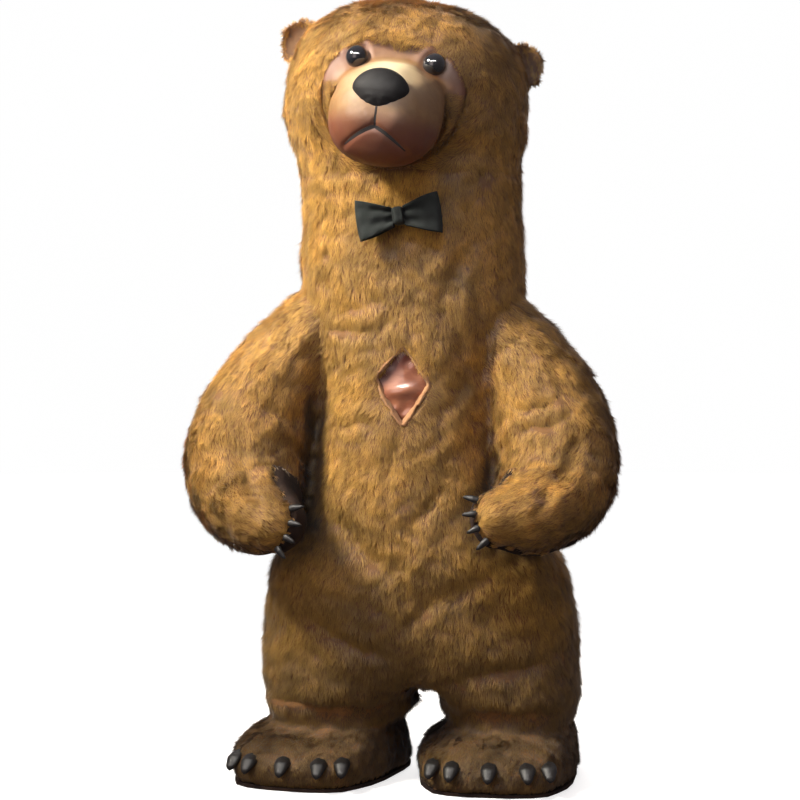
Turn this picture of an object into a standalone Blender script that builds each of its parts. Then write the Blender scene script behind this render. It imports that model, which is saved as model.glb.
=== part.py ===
"""A full-body bear costume in long plush, worn but with nobody inside.

The costume is a hollow skin of sewn panels: front and back body panels that run from neck to ankle,
sleeves, paws, boots, and a head of four panels round a moulded face. Every panel is a wall as thick as the
plush, backing and pile together. Lengths are in metres, +Z is up and the bear looks along -Y. Heights in
the tables are above the floor; the origin is between the wearer's shoulders, which carry the suit.
"""

import math

import bmesh
import bpy
import numpy as np
from mathutils import Matrix, Vector

# ---- driving dimensions ----
SHOULDER_HEIGHT = 1.26  # of the wearer's shoulders above the floor
PLUSH = 0.014  # backing and pile together
SEAM_GAP = 0.0003  # between neighbouring pieces
TRIM_GAP = 0.0005  # between the body and what is trimmed to its curve
ROUND = 2.0 / 2.25  # power of the rings' cosines: a little squarer than an ellipse
NORMAL_STEP = 1e-3  # change in a surface's shares over which its normal is measured

NECK_TOP = 1.54  # where the head is sewn to the neck
ANKLE = 0.142  # where the boots are sewn to the legs
CROTCH = 0.205
HEAD_ROLL = 7.0  # degrees, crown towards the bear's left
HEAD_SHIFT = -0.044  # of the head's middle, towards the bear's right

BODY_COLUMNS = 18  # faces round half the body
LIMB_COLUMNS = 14  # faces round an arm
SLEEVE_ROWS, ARMHOLE_ROWS = 13, 15
BOOT_COLUMNS = 26
FAR = 0.6  # past everything that a cutter meets
HEAD_COLUMNS = 30
CHEEK_ROWS, DOME_ROWS = 5, 9
FACE_COLUMNS = 22
EAR_COLUMNS, EAR_ROWS = 18, 5
ZIP_ROWS = 31
BOW_ROWS, BOW_COLUMNS = 15, 5
MOUTH_STEPS = 13

FUR_COLOUR = (0.47, 0.29, 0.09)
SKIN_COLOUR = (0.62, 0.36, 0.19)
BLACK = (0.012, 0.012, 0.013)
SUEDE_COLOUR = (0.06, 0.035, 0.025)
SATIN_COLOUR = (0.56, 0.25, 0.16)
METAL_COLOUR = (0.55, 0.50, 0.40)


def table(columns, *rows):
    """Named columns of a table, one array each; the first column is the one that is looked up."""
    names = columns.split()
    return {"key": names[0], **dict(zip(names, np.array(rows, float).T))}


def read(rows, column, at):
    """A column of a table at the places `at` of its first column, on a smooth curve through the rows."""
    knots, values = rows[rows["key"]], rows[column]
    steps = np.diff(knots)
    slopes = np.diff(values) / steps
    tangents = np.concatenate([slopes[:1], (slopes[:-1] + slopes[1:]) / 2, slopes[-1:]])
    at = np.clip(np.asarray(at, float), knots[0], knots[-1])
    i = np.clip(np.searchsorted(knots, at, "right") - 1, 0, len(steps) - 1)
    t, step = (at - knots[i]) / steps[i], steps[i]
    return (
        values[i] * (1 + 2 * t) * (1 - t) ** 2
        + tangents[i] * step * t * (1 - t) ** 2
        + values[i + 1] * t * t * (3 - 2 * t)
        + tangents[i + 1] * step * t * t * (t - 1)
    )


# The body and legs. Each side is a lobe: `half` is its outermost point and `lobe` its centre, both from
# the mid-line, which `shift` moves aside. Where the lobes meet the mid-line they share the centre seams.
BODY = table(
    "height shift half lobe front back",
    (0.140, 0.020, 0.397, 0.224, 0.200, 0.205),
    (0.175, 0.020, 0.410, 0.226, 0.212, 0.215),
    (0.205, 0.019, 0.414, 0.210, 0.222, 0.225),
    (0.240, 0.017, 0.416, 0.177, 0.232, 0.238),
    (0.290, 0.016, 0.417, 0.115, 0.246, 0.255),
    (0.370, 0.015, 0.414, 0.045, 0.262, 0.274),
    (0.460, 0.013, 0.404, 0.000, 0.272, 0.280),
    (0.545, 0.009, 0.384, 0.000, 0.276, 0.272),
    (0.620, 0.004, 0.338, 0.000, 0.274, 0.256),
    (0.700, 0.000, 0.292, 0.000, 0.268, 0.240),
    (0.800, -0.003, 0.262, 0.000, 0.262, 0.230),
    (0.900, -0.004, 0.248, 0.000, 0.256, 0.228),
    (1.000, -0.005, 0.248, 0.000, 0.250, 0.232),
    (1.100, -0.005, 0.266, 0.000, 0.244, 0.240),
    (1.200, -0.004, 0.291, 0.000, 0.240, 0.243),
    (1.290, -0.004, 0.296, 0.000, 0.236, 0.240),
    (1.430, -0.007, 0.290, 0.000, 0.234, 0.234),
    (1.545, -0.011, 0.294, 0.000, 0.236, 0.236),
)

BODY_ROWS = np.array(
    (0.1425, 0.165, 0.188, 0.212, 0.24, 0.275, 0.32, 0.38, 0.43, 0.47, 0.50, 0.55, 0.61, 0.67, 0.73)
    + (0.79, 0.85, 0.91, 0.97, 1.03, 1.09, 1.15, 1.21, 1.27, 1.32, 1.38, 1.43, 1.455, 1.50, NECK_TOP)
)
LEGS_END = 0.43  # above this the body is one tube

# The largest folds of the body: side -1 is the bear's right, around runs from 0 at the centre front to 1
# at the centre back, and a fold lies level at lean 0. Depth is negative in a trough.
BODY_FOLDS = table(
    "side around height lean length width depth",
    (-1, 0.20, 1.235, 62, 0.150, 0.030, -0.014),
    (-1, 0.13, 1.180, 58, 0.140, 0.030, 0.009),
    (1, 0.22, 1.250, -60, 0.130, 0.028, -0.012),
    (1, 0.10, 1.090, -28, 0.100, 0.024, 0.007),
    (-1, 0.10, 1.075, 30, 0.095, 0.024, 0.008),
    (-1, 0.13, 0.985, 4, 0.080, 0.022, -0.006),
    (1, 0.12, 0.930, 35, 0.090, 0.024, -0.007),
    (-1, 0.17, 0.600, 10, 0.160, 0.035, -0.011),
    (1, 0.22, 0.400, -25, 0.200, 0.036, -0.013),
    (-1, 0.24, 0.330, 22, 0.170, 0.034, -0.011),
    (1, 0.30, 0.215, 6, 0.200, 0.026, 0.010),
    (-1, 0.30, 0.200, -5, 0.190, 0.024, 0.011),
    (-1, 0.72, 1.180, -55, 0.150, 0.034, -0.012),
    (1, 0.74, 1.200, 55, 0.140, 0.032, -0.012),
    (-1, 0.80, 0.640, 12, 0.170, 0.036, -0.013),
    (1, 0.78, 0.610, -14, 0.160, 0.034, -0.012),
    (1, 0.70, 0.235, 8, 0.180, 0.026, 0.010),
    (-1, 0.70, 0.225, -6, 0.190, 0.026, 0.010),
)
HALF_GIRTH = 1.05  # round half the body, from centre front to centre back

# The zip in the centre-back seam: the opening's half-width between the plush edges at each height.
ZIP_SLOT = table(
    "height half",
    (0.140, SEAM_GAP / 2),
    (0.470, SEAM_GAP / 2),
    (0.500, 0.0085),
    (1.430, 0.0085),
    (1.455, SEAM_GAP / 2),
    (1.545, SEAM_GAP / 2),
)

# The arms' centrelines, from inside the shoulder to the tip of the paw. `out` is measured sideways from
# the mid-line and `fore` towards the front; `across` and `deep` are the ring's half-widths.
ARMS = {
    "R": table(
        "station out fore height across deep",
        (0.00, 0.156, 0.020, 1.236, 0.100, 0.120),
        (0.15, 0.262, 0.046, 1.130, 0.116, 0.136),
        (0.32, 0.352, 0.080, 1.003, 0.144, 0.150),
        (0.50, 0.408, 0.124, 0.872, 0.163, 0.160),
        (0.66, 0.408, 0.182, 0.768, 0.162, 0.152),
        (0.80, 0.378, 0.258, 0.704, 0.138, 0.126),
        (0.90, 0.338, 0.318, 0.676, 0.114, 0.104),
        (1.00, 0.290, 0.364, 0.662, 0.084, 0.076),
    ),
    "L": table(
        "station out fore height across deep",
        (0.00, 0.128, 0.004, 1.236, 0.100, 0.120),
        (0.15, 0.222, 0.022, 1.140, 0.114, 0.138),
        (0.32, 0.306, 0.056, 1.008, 0.148, 0.154),
        (0.50, 0.362, 0.100, 0.880, 0.162, 0.160),
        (0.66, 0.380, 0.172, 0.770, 0.158, 0.150),
        (0.80, 0.350, 0.262, 0.706, 0.136, 0.122),
        (0.90, 0.302, 0.322, 0.686, 0.112, 0.104),
        (1.00, 0.244, 0.362, 0.680, 0.082, 0.076),
    ),
}
WRIST = 0.80  # station of the seam between sleeve and paw
SEAM_TURN = -0.17  # share of a turn from the arm's outer side to its first seam
PAW_CAP, PAW_ROUND = 0.1, 0.060  # the paw's rounded end, in stations and in length
PAW_STATIONS = np.append(np.linspace(WRIST, 1.0, 4), 1 + PAW_CAP * np.array((0.25, 0.5, 0.75, 0.93)))
PAW_CLAWS = (-0.75, -0.25, 0.25, 0.75)  # places across the paw's end
PAW_SPREAD, PAW_FAN, PAW_CLAW_SINK = 0.062, 0.75, 0.012
PAW_CLAW = {"radius": 0.0105, "length": 0.046, "curve": 0.9}
BOOT_CLAW = {"radius": 0.0185, "length": 0.062, "curve": 1.15}
CLAW_SIDES, CLAW_SHARES = 7, (0.0, 0.4, 0.8)
CLAW_TAPER, CLAW_BLUNT, CLAW_FLAT = 1.8, 0.6, 0.85

# Creases of the sleeves: around 0 is the outside of the arm and 0.25 its front.
SLEEVE_FOLDS = table(
    "station around lean length width depth",
    (0.20, 0.18, 70, 0.100, 0.022, -0.010),
    (0.34, 0.36, 10, 0.090, 0.020, -0.008),
    (0.50, 0.30, 35, 0.110, 0.024, 0.007),
    (0.60, 0.42, 5, 0.110, 0.020, -0.011),
    (0.66, 0.14, 8, 0.080, 0.020, -0.007),
    (0.34, 0.80, 20, 0.100, 0.024, -0.009),
    (0.58, 0.72, -15, 0.110, 0.024, -0.009),
)
ARM_GIRTH = 0.75

# The boots: each ring blends from the leg's last ring into the foot's own outline.
BOOT = table(
    "height foot half toe heel",
    (0.0085, 1.00, 0.200, 0.314, 0.200),
    (0.0300, 1.00, 0.207, 0.324, 0.208),
    (0.0620, 1.00, 0.208, 0.322, 0.212),
    (0.0950, 0.94, 0.204, 0.308, 0.210),
    (0.1220, 0.72, 0.198, 0.280, 0.207),
    (0.1380, 0.30, 0.190, 0.244, 0.205),
    (0.1417, 0.00, 0.184, 0.230, 0.205),
)
BOOTS = {"R": {"centre": -0.224, "yaw": -12.0}, "L": {"centre": 0.222, "yaw": 0.0}}
BOOT_ROUND = 2.0 / 3.0
SOLE, SOLE_INSET = 0.0082, 0.002
TOES = 5
TOE_BULGE = {"out": 0.008, "turn": 0.12, "top": 0.115, "fade": 0.06}
TOE_ANGLES = np.radians(np.linspace(-34, 34, TOES))  # off the foot's own forward line
TOE_CLAW_HEIGHT = 0.082
TOE_CLAW_SINK, TOE_CLAW_SPLAY = 0.016, 0.5  # how deep a claw is rooted, and how far it turns outwards

# The head above its seam, up to where the dome starts.
HEAD = table(
    "rise half front back",
    (0.000, 0.300, 0.236, 0.236),
    (0.045, 0.318, 0.258, 0.254),
    (0.100, 0.326, 0.274, 0.270),
    (0.170, 0.323, 0.280, 0.278),
)
DOME_START, DOME_RISE, DOME_POWER = 0.170, 0.288, 2.0 / 2.5
DOME_LAST = 0.96  # share of the dome at its last ring below the crown
GUSSET = 0.085  # half-width of the strip over the crown
THROAT = {"half": 0.135, "back": -0.02, "rise": 0.090}  # the piece under the chin
CHEEK_SHARE, NECK_SHARE = 0.34, 0.30  # of the way up the head: where its dome starts and its neck ends

# The moulded face: rings round a line that runs forward out of the head. They widen upwards by `taper`.
FACE = table(
    "fore rise wide up down taper",
    (0.190, 0.165, 0.180, 0.150, 0.150, 0.12),
    (0.238, 0.165, 0.180, 0.147, 0.150, 0.12),
    (0.266, 0.163, 0.172, 0.138, 0.150, 0.12),
    (0.288, 0.150, 0.152, 0.121, 0.146, 0.06),
    (0.315, 0.135, 0.142, 0.116, 0.140, 0.00),
    (0.350, 0.125, 0.137, 0.110, 0.134, -0.05),
    (0.390, 0.118, 0.128, 0.100, 0.124, -0.05),
    (0.425, 0.112, 0.112, 0.086, 0.108, -0.03),
    (0.450, 0.110, 0.086, 0.068, 0.084, 0.00),
    (0.466, 0.110, 0.054, 0.044, 0.054, 0.00),
    (0.472, 0.110, 0.026, 0.022, 0.026, 0.00),
)
FACE_TIP = 0.4735
FACE_MIDDLE = (-0.28, 0.14)  # a place inside it, in y and z
FACE_WALL = 0.005
EYE_RADIUS, EYE_OUT, EYE_RISE, EYE_FORE = 0.029, 0.0965, 0.261, 0.270
EYE_SIDES, EYE_RINGS = 14, 8
NOSE = {"fore": 0.438, "rise": 0.160, "half": 0.074, "deep": 0.046, "tall": 0.056, "narrow": 0.42}
NOSE |= {"sides": 18, "rings": 10, "full": 0.12, "flat": 1.25}
MOUTH = {"rise": 0.074, "half": 0.074, "drop": 0.046, "bend": 1.25, "line": 0.0055, "raised": 0.0024}
MOUTH |= {"near": -0.36, "far": -0.6}  # the depths between which its strokes are cut
EARS = {"R": {"out": 0.302, "rise": 0.322}, "L": {"out": 0.278, "rise": 0.318}}
EAR_BACK = 0.012
EAR_LAST = 0.2  # angle of the last ring off the cup's pole
EAR_RADIUS, EAR_DEPTH, EAR_WALL = 0.071, 0.052, 0.010
EAR_DISH, EAR_FACING, EAR_TURN = 0.024, 0.006, 14.0
EAR_SET, EAR_TUCK = 0.001, 0.0018  # of the inner piece: behind the rim, and smaller at its back

# The bow tie, sewn to the throat.
BOW_HEIGHT, BOW_LEAN, BOW_STAND = 1.418, -8.0, 0.024
BOW_WALL, BOW_PLEAT, BOW_MIDDLE = 0.0022, 0.004, 0.060
BOW_RUN = table(
    "along out fore tall",
    (0.00, 0.0144, 0.012, 0.024),
    (0.16, 0.036, 0.017, 0.031),
    (0.32, 0.072, 0.020, 0.043),
    (0.45, 0.101, 0.013, 0.050),
    (0.50, 0.107, 0.000, 0.052),
    (0.55, 0.101, -0.010, 0.050),
    (0.68, 0.072, -0.013, 0.043),
    (0.84, 0.036, -0.012, 0.031),
    (1.00, 0.0144, -0.009, 0.024),
)
KNOT, KNOT_BEVEL = (0.028, 0.052, 0.044), 0.006

# Corners of the opened stretch of the centre-front seam.
CHEST_GAP = table(
    "x height",
    (0.001, 1.100),
    (-0.036, 1.052),
    (-0.065, 1.018),
    (-0.036, 0.956),
    (-0.001, 0.902),
    (0.032, 0.946),
    (0.063, 1.001),
    (0.030, 1.055),
)
CHEST_DEPTH = 0.1  # how near the middle the opened seam is cut
LINING = {"low": 0.84, "high": 1.16, "columns": 2, "wall": 0.002, "behind": 0.0020}
LINING |= {"crown": 0.012, "middle": 1.002, "wide": 0.042, "tall": 0.064}

# The zip: a chain of teeth on its tape, its slider and the pull tab that hangs in the slider's arch.
CHAIN = {"wall": 0.0026, "sunk": 0.0085, "low": 0.480, "high": 1.450}
SLIDER_HEIGHT = 1.405
SLIDER = {"half": 0.0058, "long": 0.0105, "deep": 0.0050, "bevel": 0.0012}
ARCH = {"half": 0.0010, "long": 0.0070, "leg": 0.0020, "rise": 0.0052}
TAB = {"half": 0.0046, "wall": 0.0019, "bar": 0.0020, "hole": 0.0022, "slot": 0.0105, "long": 0.0380}

# ---- surfaces: each returns points for shares u across and v along ----
def power(cosine, exponent=ROUND):
    """A cosine made squarer, with its sign kept."""
    return np.sign(cosine) * np.abs(cosine) ** exponent


def smooth(share):
    """A share between 0 and 1 that starts and ends level."""
    share = np.clip(share, 0, 1)
    return share * share * (3 - 2 * share)


def folds_at(folds, across, along, across_column, along_column, girth=None):
    """How far the folds of a table push a surface out, at distances given in metres."""
    push = np.zeros(np.broadcast(across, along).shape)
    leans = np.radians(folds["lean"])
    sizes = zip(folds["length"], folds["width"], folds["depth"])
    for a, b, lean, (length, width, depth) in zip(folds[across_column], folds[along_column], leans, sizes):
        x, y = across - a, along - b
        if girth:
            x = (x + girth / 2) % girth - girth / 2
        down = x * math.cos(lean) + y * math.sin(lean)
        side = y * math.cos(lean) - x * math.sin(lean)
        push = push + depth * np.exp(-((down / length) ** 2) - (side / width) ** 2)
    return push


def scaled(folds, wanted=None, **scales):
    """A table of folds with some columns scaled, and only the wanted rows."""
    wanted = slice(None) if wanted is None else wanted
    return {k: v[wanted] * scales.get(k, 1) for k, v in folds.items() if k != "key"}


def stacked(x, y, z):
    return np.stack(np.broadcast_arrays(x, y, z), axis=-1)


def slot_half(height):
    """Half the zip's opening at a height; it runs straight between the rows."""
    return np.interp(height, ZIP_SLOT["height"], ZIP_SLOT["half"])


def body_surface(side, u, height):
    """A point of one half of the body: u is 0 on the centre-front seam and 1 on the centre-back seam."""
    lobe = read(BODY, "lobe", height)
    reach = read(BODY, "half", height) - lobe
    front_end, back_end = (
        np.arccos(power(np.clip((seam - lobe) / reach, -1, 1), 1 / ROUND))
        for seam in (SEAM_GAP / 2, slot_half(height))
    )
    angle = np.where(u < 0.5, front_end * (1 - 2 * u), back_end * (1 - 2 * u))
    deep = np.where(angle > 0, read(BODY, "front", height), read(BODY, "back", height))
    folds = scaled(BODY_FOLDS, BODY_FOLDS["side"] == side, around=HALF_GIRTH)
    push = folds_at(folds, u * HALF_GIRTH, height, "around", "height")
    push_out = push * np.sqrt(np.sin(np.pi * np.clip(u, 0, 1)))
    x = lobe + reach * power(np.cos(angle)) + push_out * np.cos(angle)
    y = -deep * power(np.sin(angle)) - push * np.sin(angle)
    return stacked(side * x + read(BODY, "shift", height), y, height - SHOULDER_HEIGHT)


def leg_ring(side, angle, height):
    """One leg's outline at a height below the crotch, by angle from the leg's outer side."""
    half, lobe = read(BODY, "half", height), read(BODY, "lobe", height)
    deep = np.where(np.sin(angle) > 0, read(BODY, "front", height), read(BODY, "back", height))
    x = side * (lobe + (half - lobe) * power(np.cos(angle))) + read(BODY, "shift", height)
    return stacked(x, -deep * power(np.sin(angle)), height - SHOULDER_HEIGHT)


def boot_surface(side, u, height):
    """A point of a boot: u is a share of a turn from the leg's outer side, through its front."""
    boot = BOOTS["L" if side > 0 else "R"]
    angle = 2 * np.pi * u
    yaw = math.radians(boot["yaw"])
    own = (angle if side > 0 else np.pi - angle) - yaw
    long = np.where(np.sin(own) > 0, read(BOOT, "toe", height), read(BOOT, "heel", height))
    off_toe = (own + np.pi / 2) % (2 * np.pi) - np.pi
    toes = sum(np.exp(-(((off_toe - a) / TOE_BULGE["turn"]) ** 2)) for a in TOE_ANGLES)
    bulge = TOE_BULGE["out"] * toes * np.clip((TOE_BULGE["top"] - height) / TOE_BULGE["fade"], 0, 1)
    forward = (long + bulge) * power(np.sin(own), BOOT_ROUND)
    across = (read(BOOT, "half", height) + bulge) * power(np.cos(own), BOOT_ROUND)
    foot = stacked(
        boot["centre"] + across * math.cos(yaw) + forward * math.sin(yaw),
        across * math.sin(yaw) - forward * math.cos(yaw),
        height - SHOULDER_HEIGHT,
    )
    leg = leg_ring(side, angle, np.full(np.shape(height), ANKLE)) + stacked(0, 0, height - ANKLE)
    share = read(BOOT, "foot", height)[..., None]
    return foot * share + leg * (1 - share)


def head_frame():
    """The head's own axes, turned and set on the neck."""
    turn = Matrix.Rotation(math.radians(HEAD_ROLL), 4, "Y")
    return Matrix.Translation((HEAD_SHIFT, 0, NECK_TOP - SHOULDER_HEIGHT)) @ turn


def in_frame(frame, points):
    """Points given in a frame's own axes, in the costume's."""
    turned = np.array(frame, float)
    return points @ turned[:3, :3].T + turned[:3, 3]


def head_surface(u, v):
    """A point of the head: u is a share of a turn from its left side through its face, v runs up it."""
    angle = 2 * np.pi * u
    rows = DOME_START * np.clip(v / CHEEK_SHARE, 0, 1)
    climb = np.clip((v - CHEEK_SHARE) / (1 - CHEEK_SHARE), 0, 1) * np.pi / 2
    rise = rows + DOME_RISE * np.sin(climb) ** DOME_POWER
    width = np.cos(climb) ** DOME_POWER
    deep = np.where(np.sin(angle) > 0, read(HEAD, "front", rows), read(HEAD, "back", rows))
    own = stacked(
        read(HEAD, "half", rows) * width * power(np.cos(angle)),
        -deep * width * power(np.sin(angle)),
        rise,
    )
    neck = neck_ring(angle) + stacked(0, 0, rise)
    share = smooth(v / NECK_SHARE)[..., None]
    return in_frame(head_frame(), own) * share + neck * (1 - share)


def neck_ring(angle):
    """The body's top outline, where the head is sewn on, by angle from its left through its front."""
    deep = np.where(np.sin(angle) > 0, *(float(read(BODY, end, NECK_TOP)) for end in ("front", "back")))
    x = read(BODY, "half", NECK_TOP) * power(np.cos(angle)) + read(BODY, "shift", NECK_TOP)
    return stacked(x, -deep * power(np.sin(angle)), NECK_TOP + SEAM_GAP - SHOULDER_HEIGHT)


def face_surface(u, v):
    """A point of the moulded face: u is a share of a turn from its left through its top, v runs forward."""
    angle = 2 * np.pi * u
    rings = len(FACE["fore"]) - 1
    fore = np.interp(v * rings, np.arange(rings + 1), FACE["fore"])
    high = np.where(np.sin(angle) > 0, read(FACE, "up", fore), read(FACE, "down", fore))
    wide = read(FACE, "wide", fore) * (1 + read(FACE, "taper", fore) * np.sin(angle))
    own = stacked(
        wide * power(np.cos(angle)), -fore, read(FACE, "rise", fore) + high * power(np.sin(angle))
    )
    return in_frame(head_frame(), own)


def arm_axis(name, station):
    """Points down the middle of an arm, and on into the rounded end of its paw."""
    side = 1 if name == "L" else -1
    rows = ARMS[name]
    within = np.minimum(station, 1)
    line = stacked(
        side * read(rows, "out", within),
        -read(rows, "fore", within),
        read(rows, "height", within) - SHOULDER_HEIGHT,
    )
    end = np.clip((station - 1) / PAW_CAP, 0, 1) * np.pi / 2
    return line + arm_frames(name)["along"][-1] * (PAW_ROUND * np.sin(end))[..., None]


def arm_frames(name):
    """The arm's own axes at even stations, carried down it without twisting."""
    if name in FRAMES:
        return FRAMES[name]
    side = 1 if name == "L" else -1
    rows = ARMS[name]
    stations = np.linspace(0, 1, 401)
    line = stacked(
        side * read(rows, "out", stations), -read(rows, "fore", stations), read(rows, "height", stations)
    )
    along = np.gradient(line, axis=0)
    along /= np.linalg.norm(along, axis=-1, keepdims=True)
    forward = [np.array((0.0, -1.0, 0.0))]
    for direction in along:
        turned = forward[-1] - direction * forward[-1].dot(direction)
        forward.append(turned / np.linalg.norm(turned))
    forward = np.array(forward[1:])
    outward = np.cross(forward, along) * side
    FRAMES[name] = {"stations": stations, "along": along, "forward": forward, "outward": outward}
    return FRAMES[name]


def arm_direction(name, axis, station):
    frames = arm_frames(name)
    found = [np.interp(station, frames["stations"], frames[axis][:, i]) for i in range(3)]
    return np.stack(found, axis=-1)


def arm_surface(name, u, station):
    """A point of an arm: u is a share of a turn from its outer side through its front."""
    angle = 2 * np.pi * u
    folds = scaled(SLEEVE_FOLDS, around=ARM_GIRTH)
    push = folds_at(folds, u * ARM_GIRTH, station, "around", "station", ARM_GIRTH)
    shrink = np.cos(np.clip((station - 1) / PAW_CAP, 0, 1) * np.pi / 2)
    within = np.minimum(station, 1)
    across = (read(ARMS[name], "across", within) + push) * shrink * np.cos(angle)
    deep = (read(ARMS[name], "deep", within) + push) * shrink * np.sin(angle)
    return (
        arm_axis(name, station)
        + arm_direction(name, "outward", station) * across[..., None]
        + arm_direction(name, "forward", station) * deep[..., None]
    )


# ---- from surfaces to solids ----
def normals_of(surface, u, v, middle):
    """Outward normals of a surface, away from the points `middle` inside it."""
    du = surface(u + NORMAL_STEP, v) - surface(u - NORMAL_STEP, v)
    dv = surface(u, v + NORMAL_STEP) - surface(u, v - NORMAL_STEP)
    found = np.cross(du, dv)
    found /= np.maximum(np.linalg.norm(found, axis=-1, keepdims=True), 1e-12)
    outward = ((surface(u, v) - middle) * found).sum(-1, keepdims=True)
    return np.where(outward < 0, -found, found)


def mesh_from(name, shape, frame=None):
    """A mesh from a bmesh, set in a frame, its faces turned outwards."""
    if frame is not None:
        bmesh.ops.transform(shape, matrix=frame, verts=shape.verts)
    bmesh.ops.recalc_face_normals(shape, faces=shape.faces)
    mesh = bpy.data.meshes.new(name)
    shape.to_mesh(mesh)
    shape.free()
    return mesh


def helper(name, mesh):
    """A solid that only cuts or bounds others."""
    item = bpy.data.objects.new(name, mesh)
    HELPERS.objects.link(item)
    item.hide_render = True
    item.display_type = "WIRE"
    return item


def piece(name, mesh, colour, roughness=0.9, metallic=0.0):
    """A piece of the costume, with its own material."""
    item = bpy.data.objects.new(name, mesh)
    COSTUME.objects.link(item)
    finish = bpy.data.materials.new(name)
    finish.use_nodes = True
    shader = finish.node_tree.nodes["Principled BSDF"]
    shader.inputs["Base Color"].default_value = (*colour, 1.0)
    shader.inputs["Roughness"].default_value = roughness
    shader.inputs["Metallic"].default_value = metallic
    mesh.materials.clear()
    mesh.materials.append(finish)
    return item


def edge_of(grid, which):
    """A grid's first or last row, or its first or last column."""
    if which in ("first", "last"):
        return grid[0 if which == "first" else -1]
    return [row[0 if which == "left" else -1] for row in grid]


def skin(shape, grid, closed, split=False):
    """Faces over a grid of vertices; a split cell has its fold on the diagonal that stands further out."""
    for low, high in zip(grid, grid[1:]):
        for i in range(len(low) - (0 if closed else 1)):
            j = (i + 1) % len(low)
            cell = (low[i], low[j], high[j], high[i])
            if not split:
                shape.faces.new(cell)
                continue
            a, b, c, d = (corner.co for corner in cell)
            first = 0 if (a + c - b - d).xy.dot((a + c).xy) > 0 else 1
            shape.faces.new(cell[first : first + 3])
            shape.faces.new((cell[first], cell[first + 2], cell[first - 1]))


def wall_mesh(name, outer, inner, closed, tips=None, split=False):
    """The wall between two grids: a panel with four edges, a tube, or a tube closed at two tips."""
    shape = bmesh.new()
    grids = [[[shape.verts.new(p) for p in row] for row in grid] for grid in (outer, inner)]
    for grid in grids:
        skin(shape, grid, closed, split)
    edges = ["first"] if tips else ["first", "last"]
    for edge in edges if closed else edges + ["left", "right"]:
        skin(shape, [edge_of(grid, edge) for grid in grids], closed and edge in ("first", "last"))
    for grid, tip in zip(grids, tips or ()):
        cap(shape, grid[-1], tip)
    return mesh_from(name, shape)


def cap(shape, ring, tip):
    pole = shape.verts.new(tip)
    for a, b in zip(ring, ring[1:] + ring[:1]):
        shape.faces.new((a, b, pole))


def filled_mesh(name, rings, tip=None, frame=None, split=False):
    """A solid through rings, its first end flat and its last end flat or drawn to a tip."""
    shape = bmesh.new()
    grid = [[shape.verts.new(p) for p in ring] for ring in rings]
    skin(shape, grid, True, split)
    cap(shape, grid[0], np.mean(rings[0], axis=0))
    cap(shape, grid[-1], np.mean(rings[-1], axis=0) if tip is None else tip)
    return mesh_from(name, shape, frame)


def box_mesh(name, low, high, frame=None, bevel=0.0):
    """A box between two corners, in a frame's own axes."""
    shape = bmesh.new()
    bmesh.ops.create_cube(shape, size=1.0)
    low, high = Vector(low), Vector(high)
    for vert in shape.verts:
        vert.co = (low + high) / 2 + vert.co * (high - low)
    if bevel:
        bmesh.ops.bevel(shape, geom=shape.edges[:], offset=bevel, segments=2, affect="EDGES")
    return mesh_from(name, shape, frame)


def prism_mesh(name, outline, ends, frame=None):
    """A solid with an outline of (x, z) points between two places along y."""
    rings = [[(x, y, z) for x, z in outline] for y in ends]
    shape = bmesh.new()
    grid = [[shape.verts.new(p) for p in ring] for ring in rings]
    skin(shape, grid, True)
    for ring in grid:
        shape.faces.new(ring)
    return mesh_from(name, shape, frame)


def boolean(item, other, operation="DIFFERENCE"):
    """Cuts, keeps or joins with a helper solid."""
    step = item.modifiers.new(other.name, "BOOLEAN")
    step.operation = operation
    step.object = other
    step.solver = "EXACT"


# ---- body ----
def body_grids(side, first, last, columns, rows, grow=0.0):
    """Outer and inner grids of part of the body, between two shares of the half girth."""
    edge = SEAM_GAP / 2 / HALF_GIRTH
    low = first + (edge if first > 0 else 0)
    high = last - (edge if last < 1 else 0)
    u, height = np.meshgrid(np.linspace(low, high, columns + 1), rows)

    def surface(a, b):
        return body_surface(side, a, b)

    lobe, shift = read(BODY, "lobe", height), read(BODY, "shift", height)
    faces = surface(u, height)
    normal = normals_of(surface, u, height, stacked(side * lobe + shift, 0, height - SHOULDER_HEIGHT))
    outer, inner = faces + normal * grow, faces - normal * PLUSH
    for row in (0, -1):  # the neck and the ankles are cut level
        outer[row, :, 2] = inner[row, :, 2] = faces[row, :, 2]
    above = rows > CROTCH
    for column, share in ((0, first), (-1, last)):
        if share in (0, 1):  # a centre seam's edges stay in its own plane
            for grid in (outer, inner):
                grid[above, column, 0] = faces[above, column, 0]
    return outer, inner


def make_body():
    """Front and back panels, each from neck to ankle, with the armholes and the torn seam cut through."""
    for side, name in ((-1, "R"), (1, "L")):
        for kind, first in (("front", 0.0), ("back", 0.5)):
            outer, inner = body_grids(side, first, first + 0.5, BODY_COLUMNS // 2, BODY_ROWS)
            mesh = wall_mesh("body", outer, inner, False, split=True)
            panel = piece(f"body_{kind}_{name}", mesh, FUR_COLOUR)
            boolean(panel, bpy.data.objects[f"armhole_{name}"])
            if kind == "front":
                boolean(panel, bpy.data.objects["chest_gap"])


def make_body_helpers():
    """The filled body, a gap too large, that trims what is sewn onto it, and the torn seam."""
    rows = BODY_ROWS[BODY_ROWS > LEGS_END]
    left, right = (body_grids(side, 0.0, 1.0, BODY_COLUMNS, rows, TRIM_GAP)[0] for side in (1, -1))
    rings = np.concatenate([left, right[:, -2:0:-1]], axis=1)
    helper("body_plug", filled_mesh("body_plug", rings, split=True))
    corners = list(zip(CHEST_GAP["x"], CHEST_GAP["height"] - SHOULDER_HEIGHT))
    helper("chest_gap", prism_mesh("chest_gap", corners, (-FAR, -CHEST_DEPTH)))


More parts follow.
